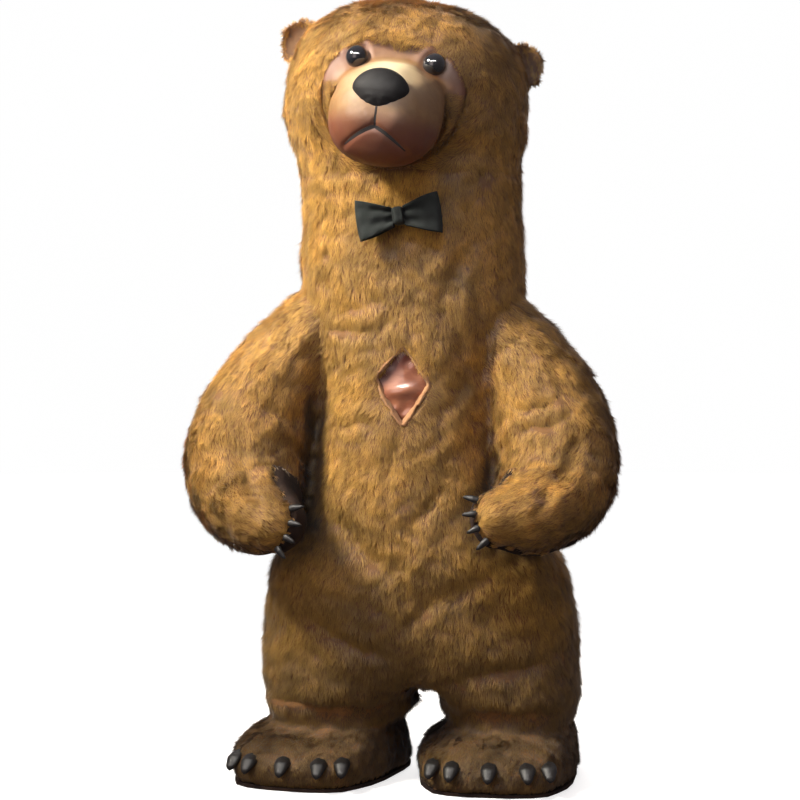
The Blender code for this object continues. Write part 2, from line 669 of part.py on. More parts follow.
def halved(grid):
    """A grid with a new point midway along each of its edges and in each of its cells."""
    for axis in (0, 1):
        grid = np.moveaxis(grid, axis, 0)
        fine = np.repeat(grid, 2, axis=0)[:-1]
        fine[1::2] = (grid[:-1] + grid[1:]) / 2
        grid = np.moveaxis(fine, 0, axis)
    return grid


def make_lining():
    """The smooth lining behind the torn seam, level with the panels' own facets but swelling in the gap."""
    rows = BODY_ROWS[(BODY_ROWS > LINING["low"]) & (BODY_ROWS < LINING["high"])]
    share = LINING["columns"] / BODY_COLUMNS
    under = [body_grids(side, 0.0, share, LINING["columns"], rows)[1] for side in (-1, 1)]
    coarse = np.concatenate([under[0][:, :0:-1], under[1]], axis=1)
    coarse[:, LINING["columns"], 0] = read(BODY, "shift", rows)
    grid = halved(coarse)
    centre = grid[:, LINING["columns"] * 2]
    across = (grid[..., 0] - centre[:, None, 0]) / LINING["wide"]
    along = (grid[..., 2] + SHOULDER_HEIGHT - LINING["middle"]) / LINING["tall"]
    swell = LINING["crown"] * np.clip(1 - across**2 - along**2, 0, 1) ** 2
    outer, inner = (grid + stacked(0, LINING["behind"] + d - swell, 0) for d in (0, LINING["wall"]))
    piece("chest_lining", wall_mesh("chest_lining", outer, inner, False), SATIN_COLOUR, roughness=0.15)


# ---- zip ----
def back_face(height):
    """The height's place on the zip's face: x, y and z."""
    return stacked(
        read(BODY, "shift", height),
        read(BODY, "back", height) - CHAIN["sunk"],
        height - SHOULDER_HEIGHT,
    )


def make_zip():
    """The closed chain, its slider with an arch, and the pull tab through the arch."""
    heights = np.linspace(CHAIN["low"], CHAIN["high"], ZIP_ROWS)
    half = slot_half(heights) - SEAM_GAP
    face = back_face(heights)[:, None, :] + stacked(np.stack([-half, half], axis=1), 0, 0)
    mesh = wall_mesh("zip_chain", face, face - (0, CHAIN["wall"], 0), False)
    piece("zip_chain", mesh, METAL_COLOUR, roughness=0.4, metallic=1.0)
    low, high = back_face(np.array([SLIDER_HEIGHT - 0.01, SLIDER_HEIGHT + 0.01]))
    slope = math.atan2(high[1] - low[1], high[2] - low[2])
    place = Matrix.Translation(back_face(np.array(SLIDER_HEIGHT))) @ Matrix.Rotation(-slope, 4, "X")
    make_slider(place)
    make_pull_tab(place)


def make_slider(place):
    base, top = SEAM_GAP, SEAM_GAP + SLIDER["deep"]
    half, long = SLIDER["half"], SLIDER["long"]
    low, high = (-half, base, -long), (half, top, long)
    mesh = box_mesh("zip_slider", low, high, place, bevel=SLIDER["bevel"])
    slider = piece("zip_slider", mesh, METAL_COLOUR, roughness=0.3, metallic=1.0)
    half, long, leg = ARCH["half"], ARCH["long"], ARCH["leg"]
    low, high = (-half, top - leg, -long), (half, top + ARCH["rise"], long)
    arch = helper("arch", box_mesh("arch", low, high, place))
    clear = box_mesh(
        "arch_hole", (-1, top, leg - long), (1, top + ARCH["rise"] - leg, long - leg), place
    )
    boolean(arch, helper("arch_hole", clear))
    boolean(slider, arch, "UNION")


def make_pull_tab(place):
    """A plate whose end bar turns under the slider's arch; its origin is on that bar's axis."""
    top = SEAM_GAP + SLIDER["deep"]
    axis = Matrix.Translation((0, top + (ARCH["rise"] - ARCH["leg"]) / 2, 0))
    half, wall, bar = TAB["half"], TAB["wall"] / 2, TAB["bar"] / 2
    mesh = box_mesh("zip_pull", (-half, -wall, -TAB["long"]), (half, wall, bar))
    pull = piece("zip_pull", mesh, METAL_COLOUR, roughness=0.3, metallic=1.0)
    pull.matrix_world = place @ axis
    hole = box_mesh("pull_hole", (-TAB["hole"], -1, -TAB["slot"]), (TAB["hole"], 1, -bar), place @ axis)
    boolean(pull, helper("pull_hole", hole))


# ---- sleeves and paws ----
def arm_grids(name, first, last, columns, stations, grow=0.0):
    """Outer and inner grids of part of an arm, between two shares of a turn."""
    closed = last - first >= 1
    edge = 0 if closed else SEAM_GAP / 2 / ARM_GIRTH
    around = np.linspace(first + edge, last - edge, columns + 1)
    u, station = np.meshgrid(around[:-1] if closed else around, stations)

    def surface(a, b):
        return arm_surface(name, a, b)

    faces = surface(u, station)
    normal = normals_of(surface, u, station, arm_axis(name, np.minimum(station, 1)))
    cut = np.abs(stations - WRIST) < SEAM_GAP  # the wrist is cut square across
    along = arm_direction(name, "along", station[cut])
    normal[cut] -= along * (normal[cut] * along).sum(-1, keepdims=True)
    normal[cut] /= np.linalg.norm(normal[cut], axis=-1, keepdims=True)
    return faces + normal * grow, faces - normal * PLUSH


def make_arm_helpers():
    """The hollows of the arms, which open the armholes, and the filled paws, which trim their claws."""
    for name in ("R", "L"):
        _, hollow = arm_grids(name, 0, 1, LIMB_COLUMNS, np.linspace(0, WRIST, ARMHOLE_ROWS))
        helper(f"armhole_{name}", filled_mesh("armhole", hollow))
        full, _ = arm_grids(name, 0, 1, LIMB_COLUMNS, PAW_STATIONS, SEAM_GAP)
        tip = arm_axis(name, np.array(1 + PAW_CAP)) + arm_frames(name)["along"][-1] * SEAM_GAP
        helper(f"paw_plug_{name}", filled_mesh("paw_plug", full, tip))


def make_arms():
    """Two halves of each sleeve down to the wrist, then the back of the paw and its palm."""
    for name in ("R", "L"):
        for kind, first in (("outer", SEAM_TURN), ("under", SEAM_TURN + 0.5)):
            stations = np.linspace(0.0, WRIST - SEAM_GAP / 2, SLEEVE_ROWS)
            outer, inner = arm_grids(name, first, first + 0.5, LIMB_COLUMNS // 2, stations)
            mesh = wall_mesh("sleeve", outer, inner, False)
            sleeve = piece(f"sleeve_{kind}_{name}", mesh, FUR_COLOUR)
            boolean(sleeve, bpy.data.objects["body_plug"])
        make_paw(name)
        make_paw_claws(name)


def paw_frame(name):
    """Axes in the paw: x along it, y across its four fingers and z out of its back."""
    along = Vector(arm_frames(name)["along"][-1])
    outward, forward = (Vector(arm_frames(name)[axis][-1]) for axis in ("outward", "forward"))
    turn = 2 * math.pi * (SEAM_TURN + 0.5)
    across = outward * math.cos(turn) + forward * math.sin(turn)
    back = outward * math.sin(turn) - forward * math.cos(turn)
    turned = Matrix((along, across, back)).transposed().to_4x4()
    return Matrix.Translation(Vector(arm_axis(name, np.array(1.0)))) @ turned


def make_paw(name):
    """The paw in two halves, the plush back of it and the suede palm."""
    stations = PAW_STATIONS + SEAM_GAP / 2 * (PAW_STATIONS == WRIST)
    outer, inner = arm_grids(name, 0, 1, LIMB_COLUMNS, stations)
    tip, reach = arm_axis(name, np.array(1 + PAW_CAP)), arm_frames(name)["along"][-1]
    whole = wall_mesh("paw", outer, inner, True, (tip, tip - reach * PLUSH))
    gap, frame = SEAM_GAP / 2, paw_frame(name)
    halves = {
        "back": (FUR_COLOUR, (-FAR, -FAR, gap), (FAR, FAR, FAR)),
        "palm": (SUEDE_COLOUR, (-FAR, -FAR, -FAR), (FAR, FAR, -gap)),
    }
    for kind, (colour, low, high) in halves.items():
        half = piece(f"paw_{kind}_{name}", whole.copy(), colour)
        region = helper(f"paw_{kind}_region_{name}", box_mesh("region", low, high, frame))
        boolean(half, region, "INTERSECT")


def claw_mesh(size, frame):
    """A horn along +X that curves down towards -Z and thins to a blunt tip."""
    rings = []
    angles = np.arange(CLAW_SIDES) * 2 * np.pi / CLAW_SIDES
    radius, length, curve = size["radius"], size["length"], size["curve"]

    def along(share):
        bend = share * curve
        return length / curve * np.array((math.sin(bend), 0, math.cos(bend) - 1))

    for share in CLAW_SHARES:
        thin = radius * (1 - share**CLAW_TAPER) ** CLAW_BLUNT
        upward = np.array((math.sin(share * curve), 0, math.cos(share * curve)))
        ring = np.outer(np.cos(angles), (0, thin, 0)) + np.outer(np.sin(angles), upward * thin * CLAW_FLAT)
        rings.append(along(share) + ring)
    return filled_mesh("claw", rings, along(1.0), frame)


def facing(point, direction, up):
    """A frame at a point, with x along a direction and z near `up`."""
    forward = Vector(direction).normalized()
    across = Vector(up).cross(forward).normalized()
    turned = Matrix((forward, across, forward.cross(across))).transposed().to_4x4()
    return Matrix.Translation(Vector(point)) @ turned


def make_claw(name, size, frame, trimmer):
    claw = piece(name, claw_mesh(size, frame), BLACK, roughness=0.3)
    boolean(claw, bpy.data.objects[trimmer])


def make_paw_claws(name):
    """Four claws across the rounded end of a paw."""
    frame = paw_frame(name)
    axes = frame.to_3x3()
    for number, share in enumerate(PAW_CLAWS, start=1):
        angle = share * PAW_FAN
        ahead = PAW_ROUND * math.cos(angle) - PAW_CLAW_SINK
        root = frame @ Vector((ahead, share * PAW_SPREAD, PAW_CLAW_SINK))
        direction = axes @ Vector((math.cos(angle), math.sin(angle), 0))
        place = facing(root, direction, axes @ Vector((0, 0, 1)))
        make_claw(f"paw_claw_{name}{number}", PAW_CLAW, place, f"paw_plug_{name}")


# ---- boots ----
def make_boots():
    """A plush upper on a flat sole, with five claws at the toes."""
    around = np.arange(BOOT_COLUMNS) / BOOT_COLUMNS
    for side, name in ((-1, "R"), (1, "L")):
        u, height = np.meshgrid(around, BOOT["height"])

        def surface(a, b, side=side):
            return boot_surface(side, a, b)

        faces = surface(u, height)
        level = normals_of(surface, u, height, faces.mean(axis=1, keepdims=True)) * (1, 1, 0)
        level /= np.linalg.norm(level, axis=-1, keepdims=True)
        piece(f"boot_{name}", wall_mesh("boot", faces, faces - level * PLUSH, True), FUR_COLOUR)
        helper(f"boot_plug_{name}", filled_mesh("boot_plug", faces + level * SEAM_GAP))
        edge = faces[0] - level[0] * SOLE_INSET
        rings = [edge * (1, 1, 0) + (0, 0, z - SHOULDER_HEIGHT) for z in (0.0, SOLE)]
        piece(f"sole_{name}", filled_mesh("sole", rings), SUEDE_COLOUR, roughness=0.8)
        make_boot_claws(side, name)


def make_boot_claws(side, name):
    yaw = math.radians(BOOTS[name]["yaw"])
    ahead = Vector((math.sin(yaw), -math.cos(yaw), 0))
    for number, off in enumerate(TOE_ANGLES, start=1):
        own = math.pi / 2 + off + yaw
        angle = own if side > 0 else math.pi - own
        root = boot_surface(side, np.array(angle / (2 * math.pi)), np.array(TOE_CLAW_HEIGHT))
        outward = Vector((math.cos(own), -math.sin(own), 0))
        direction = (outward * TOE_CLAW_SPLAY + ahead).normalized()
        place = facing(Vector(root) - direction * TOE_CLAW_SINK, direction, (0, 0, 1))
        make_claw(f"boot_claw_{name}{number}", BOOT_CLAW, place, f"boot_plug_{name}")


# ---- head ----
def make_head():
    """Gusset over the crown, two sides and a throat piece, all cut from one shell round the face."""
    around = np.arange(HEAD_COLUMNS) / HEAD_COLUMNS
    dome = CHEEK_SHARE + (1 - CHEEK_SHARE) * np.linspace(0, DOME_LAST, DOME_ROWS)[1:]
    u, v = np.meshgrid(around, np.concatenate([np.linspace(0, CHEEK_SHARE, CHEEK_ROWS), dome]))
    frame = head_frame()
    faces = head_surface(u, v)
    middle = in_frame(frame, stacked(0 * u, 0, DOME_START))
    normal = normals_of(head_surface, u, np.clip(v, NORMAL_STEP, 1 - NORMAL_STEP), middle)
    normal[0] *= (1, 1, 0)
    normal[0] /= np.linalg.norm(normal[0], axis=-1, keepdims=True)
    top, up = frame @ Vector((0, 0, DOME_START + DOME_RISE)), frame.to_3x3() @ Vector((0, 0, 1))
    shell = wall_mesh("head", faces, faces - normal * PLUSH, True, (top, top - up * PLUSH))
    helper("head_plug", filled_mesh("head_plug", faces + normal * SEAM_GAP, top + up * SEAM_GAP))
    gap = SEAM_GAP / 2
    low = Vector((-THROAT["half"], -FAR, -FAR))
    high = Vector((THROAT["half"], THROAT["back"], THROAT["rise"]))
    grow = Vector((gap, gap, gap))
    off_throat = helper("off_throat", box_mesh("off_throat", low - grow, high + grow, frame))
    regions = {
        "head_side_R": ((-FAR, -FAR, -FAR), (-GUSSET - gap, FAR, FAR)),
        "head_side_L": ((GUSSET + gap, -FAR, -FAR), (FAR, FAR, FAR)),
        "head_gusset": ((gap - GUSSET, -FAR, -FAR), (GUSSET - gap, FAR, FAR)),
        "head_throat": (low + grow, high - grow),
    }
    for name, corners in regions.items():
        part = piece(name, shell.copy(), FUR_COLOUR)
        boolean(part, helper(f"{name}_region", box_mesh("region", *corners, frame)), "INTERSECT")
        boolean(part, bpy.data.objects["face_plug"])
        if name != "head_throat":
            boolean(part, off_throat)


def face_grids(grow=0.0):
    """Outer and inner grids of the face, and the tips that close them."""
    around = np.arange(FACE_COLUMNS) / FACE_COLUMNS
    u, v = np.meshgrid(around, np.linspace(0, 1, len(FACE["fore"])))
    frame = head_frame()
    middle = in_frame(frame, stacked(0 * u, *FACE_MIDDLE))
    normal = normals_of(face_surface, u, np.clip(v, NORMAL_STEP, 1 - NORMAL_STEP), middle)
    faces = face_surface(u, v)
    tips = [frame @ Vector((0, -FACE_TIP - d, FACE["rise"][-1])) for d in (grow, -FACE_WALL)]
    return faces + normal * grow, faces - normal * FACE_WALL, tips


def face_solid(name, grow):
    outer, _, tips = face_grids(grow)
    return helper(name, filled_mesh(name, outer, tips[0]))


def make_face():
    """The moulded face with its nose, eyes and mouth line."""
    outer, inner, tips = face_grids()
    piece("face", wall_mesh("face", outer, inner, True, tips), SKIN_COLOUR, roughness=0.55)
    face_solid("face_plug", SEAM_GAP)
    nose = piece("nose", nose_mesh("nose", 0.0), BLACK, roughness=0.3)
    boolean(nose, bpy.data.objects["face_plug"])
    for side, name in ((-1, "R"), (1, "L")):
        shape = bmesh.new()
        bmesh.ops.create_uvsphere(shape, u_segments=EYE_SIDES, v_segments=EYE_RINGS, radius=EYE_RADIUS)
        place = head_frame() @ Matrix.Translation((side * EYE_OUT, -EYE_FORE, EYE_RISE))
        eye = piece(f"eye_{name}", mesh_from("eye", shape, place), BLACK, roughness=0.08)
        boolean(eye, bpy.data.objects["face_plug"])
    make_mouth()


def nose_mesh(name, grow):
    """A rounded, three-cornered nose: wide and flat above, narrow below."""
    shape = bmesh.new()
    bmesh.ops.create_uvsphere(shape, u_segments=NOSE["sides"], v_segments=NOSE["rings"], radius=1.0)
    for vert in shape.verts:
        x, y, z = vert.co
        narrow = 1 - NOSE["narrow"] * (1 - z) / 2
        vert.co.x = x * (NOSE["half"] + grow) * narrow * (1 + NOSE["full"] * (1 - z * z))
        vert.co.y = y * (NOSE["deep"] + grow) - NOSE["fore"]
        vert.co.z = (z if z < 0 else z ** NOSE["flat"]) * (NOSE["tall"] + grow) + NOSE["rise"]
    return mesh_from(name, shape, head_frame())


def make_mouth():
    """A short line down from the nose and a shallow stroke to each side, raised from the muzzle."""
    frame, line = head_frame(), MOUTH["line"]
    swing = np.linspace(-1, 1, MOUTH_STEPS)
    heights = MOUTH["rise"] - MOUTH["drop"] * np.abs(swing) ** MOUTH["bend"]
    strokes = [(x * MOUTH["half"], z) for x, z in zip(swing, heights)]
    outline = [(x, z + line) for x, z in strokes] + [(x, z - line) for x, z in strokes[::-1]]
    depths = (MOUTH["far"], MOUTH["near"])
    mouth = piece("mouth", prism_mesh("mouth", outline, depths, frame), BLACK, roughness=0.6)
    stem = [(-line, MOUTH["rise"]), (line, MOUTH["rise"]), (line, NOSE["rise"]), (-line, NOSE["rise"])]
    boolean(mouth, helper("mouth_stem", prism_mesh("mouth_stem", stem, depths, frame)), "UNION")
    boolean(mouth, face_solid("mouth_layer", MOUTH["raised"]), "INTERSECT")
    boolean(mouth, bpy.data.objects["face_plug"])
    boolean(mouth, helper("nose_guard", nose_mesh("nose_guard", 2 * SEAM_GAP)))


def make_ears():
    """Each ear is a plush cup behind and a thinner dished piece in front, sewn round the rim."""
    around = np.arange(EAR_COLUMNS) / EAR_COLUMNS * 2 * np.pi
    angle, climb = np.meshgrid(around, np.linspace(np.pi / 2, EAR_LAST, EAR_ROWS))

    def dish(frame, radius, depth, ahead=0.0):
        """Rings from a rim of the given radius back to a pole, and that pole."""
        x, z = radius * np.sin(climb) * np.cos(angle), radius * np.sin(climb) * np.sin(angle)
        rings = in_frame(frame, stacked(x, depth * np.cos(climb) + ahead, z))
        return rings, np.array(frame @ Vector((0, depth + ahead, 0)))

    for side, name in ((-1, "R"), (1, "L")):
        turn = Matrix.Rotation(math.radians(side * EAR_TURN), 4, "Z")
        place = Matrix.Translation((side * EARS[name]["out"], EAR_BACK, EARS[name]["rise"]))
        frame = head_frame() @ place @ turn
        outer, outer_pole = dish(frame, EAR_RADIUS, EAR_DEPTH)
        inner, inner_pole = dish(frame, EAR_RADIUS - EAR_WALL, EAR_DEPTH - EAR_WALL)
        mesh = wall_mesh("ear_back", outer, inner, True, (outer_pole, inner_pole))
        boolean(piece(f"ear_back_{name}", mesh, FUR_COLOUR), bpy.data.objects["head_plug"])
        radius = EAR_RADIUS - EAR_WALL - 2 * SEAM_GAP
        front, front_pole = dish(frame, radius, EAR_DISH, EAR_SET)
        rear, rear_pole = dish(frame, radius - EAR_TUCK, EAR_DISH, EAR_SET + EAR_FACING)
        mesh = wall_mesh("ear_inner", front, rear, True, (front_pole, rear_pole))
        boolean(piece(f"ear_inner_{name}", mesh, FUR_COLOUR), bpy.data.objects["head_plug"])


# ---- bow ----
def make_bow():
    """Two folded loops of cloth held by a knot that is sewn to the throat."""
    front, shift = (float(read(BODY, column, BOW_HEIGHT)) for column in ("front", "shift"))
    lean = Matrix.Rotation(math.radians(BOW_LEAN), 4, "Y")
    place = Matrix.Translation((shift, -front - BOW_STAND, BOW_HEIGHT - SHOULDER_HEIGHT)) @ lean
    along, up = np.meshgrid(np.linspace(0, 1, BOW_ROWS), np.linspace(-1, 1, BOW_COLUMNS))
    for side, name in ((-1, "R"), (1, "L")):

        def surface(a, b, side=side):
            a = np.clip(a, 0, 1)
            out, fore = read(BOW_RUN, "out", a), read(BOW_RUN, "fore", a)
            pleat = BOW_PLEAT * np.cos(np.pi * b) * np.clip(1 - out / BOW_RUN["out"].max(), 0, 1)
            return stacked(side * out, -fore - pleat * np.sign(fore), b * read(BOW_RUN, "tall", a))

        faces = surface(along, up)
        middle = stacked(side * BOW_MIDDLE, 0 * along, faces[..., 2])
        normal = normals_of(surface, along, up, middle)
        mesh = wall_mesh("bow", in_frame(place, faces), in_frame(place, faces - normal * BOW_WALL), False)
        piece(f"bow_loop_{name}", mesh, BLACK, roughness=0.7)
    half = Vector(KNOT) / 2
    mesh = box_mesh("bow_knot", -half, half, place, bevel=KNOT_BEVEL)
    knot = piece("bow_knot", mesh, BLACK, roughness=0.7)
    boolean(knot, bpy.data.objects["body_plug"])


# ---- the costume ----
def new_collection(name):
    made = bpy.data.collections.new(name)
    bpy.context.scene.collection.children.link(made)
    return made


for old in list(bpy.data.objects):
    bpy.data.objects.remove(old)
COSTUME = new_collection("bear_costume")
HELPERS = new_collection("cutters")
FRAMES = {}  # each arm's own axes, once worked out

make_arm_helpers()
make_body_helpers()
make_body()
make_lining()
make_zip()
make_arms()
make_boots()
make_face()
make_head()
make_ears()
make_bow()
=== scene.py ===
import math

import bmesh
import bpy
import numpy as np
from mathutils import Matrix, Vector
from mathutils.bvhtree import BVHTree
from mathutils.kdtree import KDTree


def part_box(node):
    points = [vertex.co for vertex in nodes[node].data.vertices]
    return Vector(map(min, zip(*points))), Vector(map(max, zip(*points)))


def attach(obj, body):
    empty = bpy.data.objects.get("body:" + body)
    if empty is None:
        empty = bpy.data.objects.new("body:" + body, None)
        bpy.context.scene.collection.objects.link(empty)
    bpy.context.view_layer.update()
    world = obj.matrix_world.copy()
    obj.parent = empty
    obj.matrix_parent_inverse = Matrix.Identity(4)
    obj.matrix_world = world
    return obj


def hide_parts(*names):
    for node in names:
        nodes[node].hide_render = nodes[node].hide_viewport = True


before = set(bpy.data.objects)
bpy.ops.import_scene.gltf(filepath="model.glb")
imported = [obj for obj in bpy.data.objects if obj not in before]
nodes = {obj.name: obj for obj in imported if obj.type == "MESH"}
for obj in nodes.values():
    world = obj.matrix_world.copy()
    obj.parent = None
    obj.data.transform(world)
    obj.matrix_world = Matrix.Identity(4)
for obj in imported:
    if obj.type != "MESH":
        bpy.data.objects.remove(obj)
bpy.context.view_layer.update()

suit = {"shoulderHeight": 1.26, "neckTop": 1.54, "crotch": 0.205, "ankle": 0.142}
head = {"roll": 7.0, "shift": -0.044, "rise": suit["neckTop"] - suit["shoulderHeight"]}


class Wire:
    # one output of a material's tree, with the arithmetic that the finishes use
    def __init__(self, finish, socket):
        self.finish = finish
        self.socket = socket

    def math(self, operation, *values, clamp=False):
        settings = {"operation": operation, "use_clamp": clamp}
        return self.finish.add("ShaderNodeMath", settings, dict(enumerate(values)))

    def __add__(self, other):
        return self.math("ADD", self, other)

    def __sub__(self, other):
        return self.math("SUBTRACT", self, other)

    def __rsub__(self, other):
        return self.math("SUBTRACT", other, self)

    def __mul__(self, other):
        return self.math("MULTIPLY", self, other)

    def __truediv__(self, other):
        return self.math("DIVIDE", self, other)

    def __pow__(self, other):
        return self.math("POWER", self, other)

    __radd__ = __add__
    __rmul__ = __mul__

    def between(self, low, high):
        # 0 at low and 1 at high, held outside them
        settings = {"clamp": True, "interpolation_type": "SMOOTHSTEP"}
        values = {"Value": self, "From Min": low, "From Max": high}
        return self.finish.add("ShaderNodeMapRange", settings, values)


class Finish:
    def __init__(self, name, **fixed):
        self.material = bpy.data.materials.new(name)
        self.material.use_nodes = True
        self.tree = self.material.node_tree
        self.shader = self.tree.nodes["Principled BSDF"]
        for socket, value in fixed.items():
            self.shader.inputs[socket.replace("_", " ")].default_value = value
        self.place = self.add("ShaderNodeTexCoord", output="Object")

    def add(self, kind, settings=None, inputs=None, output=0):
        node = self.tree.nodes.new(kind)
        for key, value in (settings or {}).items():
            setattr(node, key, value)
        for key, value in (inputs or {}).items():
            self.feed(node.inputs[key], value)
        return Wire(self, node.outputs[output])

    def feed(self, socket, value):
        if isinstance(value, Wire):
            self.tree.links.new(value.socket, socket)
        elif hasattr(value, "__len__") and len(value) == 3 and socket.type == "RGBA":
            socket.default_value = (*value, 1.0)
        else:
            socket.default_value = value

    def set(self, **inputs):
        for key, value in inputs.items():
            self.feed(self.shader.inputs[key.replace("_", " ")], value)
        return self.material

    def mix(self, factor, first, second, blend="MIX"):
        settings = {"data_type": "RGBA", "blend_type": blend}
        return self.add("ShaderNodeMix", settings, {0: factor, 6: first, 7: second}, output=2)

    def noise(self, scale, detail=2.0, stretch=(1, 1, 1), distortion=0.0):
        place = self.add("ShaderNodeMapping", None, {"Vector": self.place, "Scale": stretch})
        values = {"Vector": place, "Scale": scale, "Detail": detail, "Distortion": distortion}
        return self.add("ShaderNodeTexNoise", None, values, output="Fac")

    def attribute(self, name):
        return self.add("ShaderNodeAttribute", {"attribute_name": name}, output="Fac")

    def bump(self, height, distance, strength=1.0):
        values = {"Height": height, "Distance": distance, "Strength": strength}
        return self.add("ShaderNodeBump", None, values)


def newPiece(name, mesh, material=None, smooth=True):
    piece = bpy.data.objects.new(name, mesh)
    bpy.context.scene.collection.objects.link(piece)
    if material:
        mesh.materials.clear()
        mesh.materials.append(material)
    if smooth:
        mesh.shade_smooth()
    return piece


def meshFrom(shape, name):
    # a bmesh's form as a mesh; the bmesh goes
    mesh = bpy.data.meshes.new(name)
    shape.to_mesh(mesh)
    shape.free()
    return mesh


def joined(names):
    # the CAD nodes' triangles as one mesh, each node's own corners merged
    whole = bmesh.new()
    for name in names:
        part = bmesh.new()
        part.from_mesh(nodes[name].data)
        bmesh.ops.remove_doubles(part, verts=part.verts, dist=1e-5)
        mesh = meshFrom(part, name)
        whole.from_mesh(mesh)
        bpy.data.meshes.remove(mesh)
    return meshFrom(whole, "joined")


def evaluated(item):
    # an object's mesh with its modifiers worked in; the object goes
    graph = bpy.context.evaluated_depsgraph_get()
    mesh = bpy.data.meshes.new_from_object(item.evaluated_get(graph), depsgraph=graph)
    bpy.data.objects.remove(item)
    return mesh


def remeshed(mesh, size):
    item = newPiece("remeshed", mesh)
    step = item.modifiers.new("voxels", "REMESH")
    step.mode = "VOXEL"
    step.voxel_size = size
    return evaluated(item)


def vectorsOf(items, field):
    values = np.empty(len(items) * 3)
    items.foreach_get(field, values)
    return values.reshape(-1, 3)


def pointsOf(mesh):
    return vectorsOf(mesh.vertices, "co")


def normalsOf(mesh):
    return vectorsOf(mesh.vertex_normals, "vector")


def edgesOf(mesh):
    return np.array([edge.vertices[:] for edge in mesh.edges])


def surfaceOf(mesh):
    return BVHTree.FromPolygons([v.co for v in mesh.vertices], [f.vertices[:] for f in mesh.polygons])


def spotTree(spots):
    tree = KDTree(len(spots))
    for index, spot in enumerate(spots):
        tree.insert(spot, index)
    tree.balance()
    return tree


def awayFrom(spots, points):
    # how far each point is from the nearest of some spots
    tree = spotTree(spots)
    return np.array([tree.find(point)[2] for point in points])


def setPoints(mesh, points):
    mesh.vertices.foreach_set("co", points.ravel())
    mesh.update()


def smoothed(mesh, rounds):
    # evens the facets out without shrinking the form
    edges = edgesOf(mesh)
    points = pointsOf(mesh)
    count = np.bincount(edges.ravel(), minlength=len(points))[:, None]
    for share in (0.6, -0.62) * rounds:
        total = np.zeros_like(points)
        np.add.at(total, edges[:, 0], points[edges[:, 1]])
        np.add.at(total, edges[:, 1], points[edges[:, 0]])
        points += share * (total / count - points)
    setPoints(mesh, points)


def keepFaces(mesh, wanted):
    shape = bmesh.new()
    shape.from_mesh(mesh)
    shape.faces.ensure_lookup_table()
    spare = [face for face, keep in zip(shape.faces, wanted) if not keep]
    bmesh.ops.delete(shape, geom=spare, context="FACES")
    return meshFrom(shape, mesh.name)


def unit(vectors):
    return vectors / np.maximum(np.linalg.norm(vectors, axis=-1, keepdims=True), 1e-9)


def eased(share):
    share = np.clip(share, 0, 1)
    return share * share * (3 - 2 * share)


furValues = {
    "root": (0.232, 0.100, 0.032),
    "middle": (0.430, 0.194, 0.040),
    "tip": (0.720, 0.405, 0.066),
    "patchScale": 7.0,  # per metre, the worn and matted patches
    "patchDark": 0.66,
    "toneSpread": 0.56,  # between the darkest and the lightest lock
    "soil": (-1.24, -0.50, 0.34),  # painted shade: from the feet up to where the pile is no longer darkened, and how dark it is at the feet
}


def furFinish():
    values = furValues
    finish = Finish("plushPile", Roughness=0.72, Sheen_Weight=0.25, Sheen_Roughness=0.5)
    tip, tone = finish.attribute("tip"), finish.attribute("tone")
    lower = finish.mix(tip.between(-0.10, 0.40), values["root"], values["middle"])
    pile = finish.mix(tip.between(0.10, 0.80), lower, values["tip"])
    patches = finish.noise(values["patchScale"], 3.0, distortion=0.6).between(0.35, 0.65)
    spread = tone * values["toneSpread"] + (1 - values["toneSpread"] / 2)
    level = spread * (patches * (1 - values["patchDark"]) + values["patchDark"])
    # painted shade: the pile is painted darker towards the feet
    low, high, shadeAtFeet = values["soil"]
    height = finish.add("ShaderNodeSeparateXYZ", None, {0: finish.place}, output="Z")
    level = level * (height.between(low, high) * (1 - shadeAtFeet) + shadeAtFeet)
    shade = finish.add("ShaderNodeCombineColor", None, {0: level, 1: level, 2: level})
    return finish.set(Base_Color=finish.mix(1.0, pile, shade, "MULTIPLY"))


faceValues = {
    "skin": (0.235, 0.112, 0.031),
    "pale": (0.860, 0.720, 0.460),  # the bridge and the top of the muzzle
    "warm": (0.170, 0.050, 0.021),  # darker under the nose, round the mouth and round the eyes: partly the skin's own colour, partly painted shade
    "edge": (0.200, 0.076, 0.036),  # darker near the fur, a painted shadow of the fringe
}


def faceFinish():
    values = faceValues
    finish = Finish("mouldedFace", Roughness=0.55, Subsurface_Weight=0.04)
    pale, warm, edge = (finish.attribute(name) for name in ("pale", "warm", "edge"))
    mottle = finish.noise(38.0, 4.0, distortion=0.4)
    skin = finish.mix(mottle.between(0.3, 0.75), values["skin"], (0.290, 0.148, 0.043))
    skin = finish.mix(pale, skin, values["pale"])
    skin = finish.mix(warm * (mottle * 0.5 + 0.7), skin, values["warm"])
    skin = finish.mix(edge, skin, values["edge"])
    pores = finish.noise(620.0, 2.0) + finish.noise(90.0, 3.0) * 1.5
    return finish.set(
        Base_Color=skin,
        Roughness=finish.noise(60.0, 3.0) * 0.22 + 0.45,
        Normal=finish.bump(pores, 0.0005, 0.6),
    )


def noseFinish():
    finish = Finish("blackNose", Specular_IOR_Level=0.18)
    cells = finish.add(
        "ShaderNodeTexVoronoi",
        {"feature": "DISTANCE_TO_EDGE"},
        {"Vector": finish.place, "Scale": 260.0},
        output="Distance",
    )
    return finish.set(
        Base_Color=finish.mix(finish.noise(30.0, 3.0), (0.010, 0.010, 0.011), (0.030, 0.028, 0.028)),
        Roughness=finish.noise(50.0, 2.0) * 0.25 + 0.42,
        Normal=finish.bump(cells.between(0.0, 0.12), 0.0005, 0.5),
    )


def eyeFinish():
    finish = Finish("glossyEye", Roughness=0.04, Coat_Weight=1.0, Coat_Roughness=0.02)
    colour = finish.mix(finish.noise(60.0, 2.0), (0.006, 0.007, 0.009), (0.020, 0.022, 0.027))
    return finish.set(Base_Color=colour)


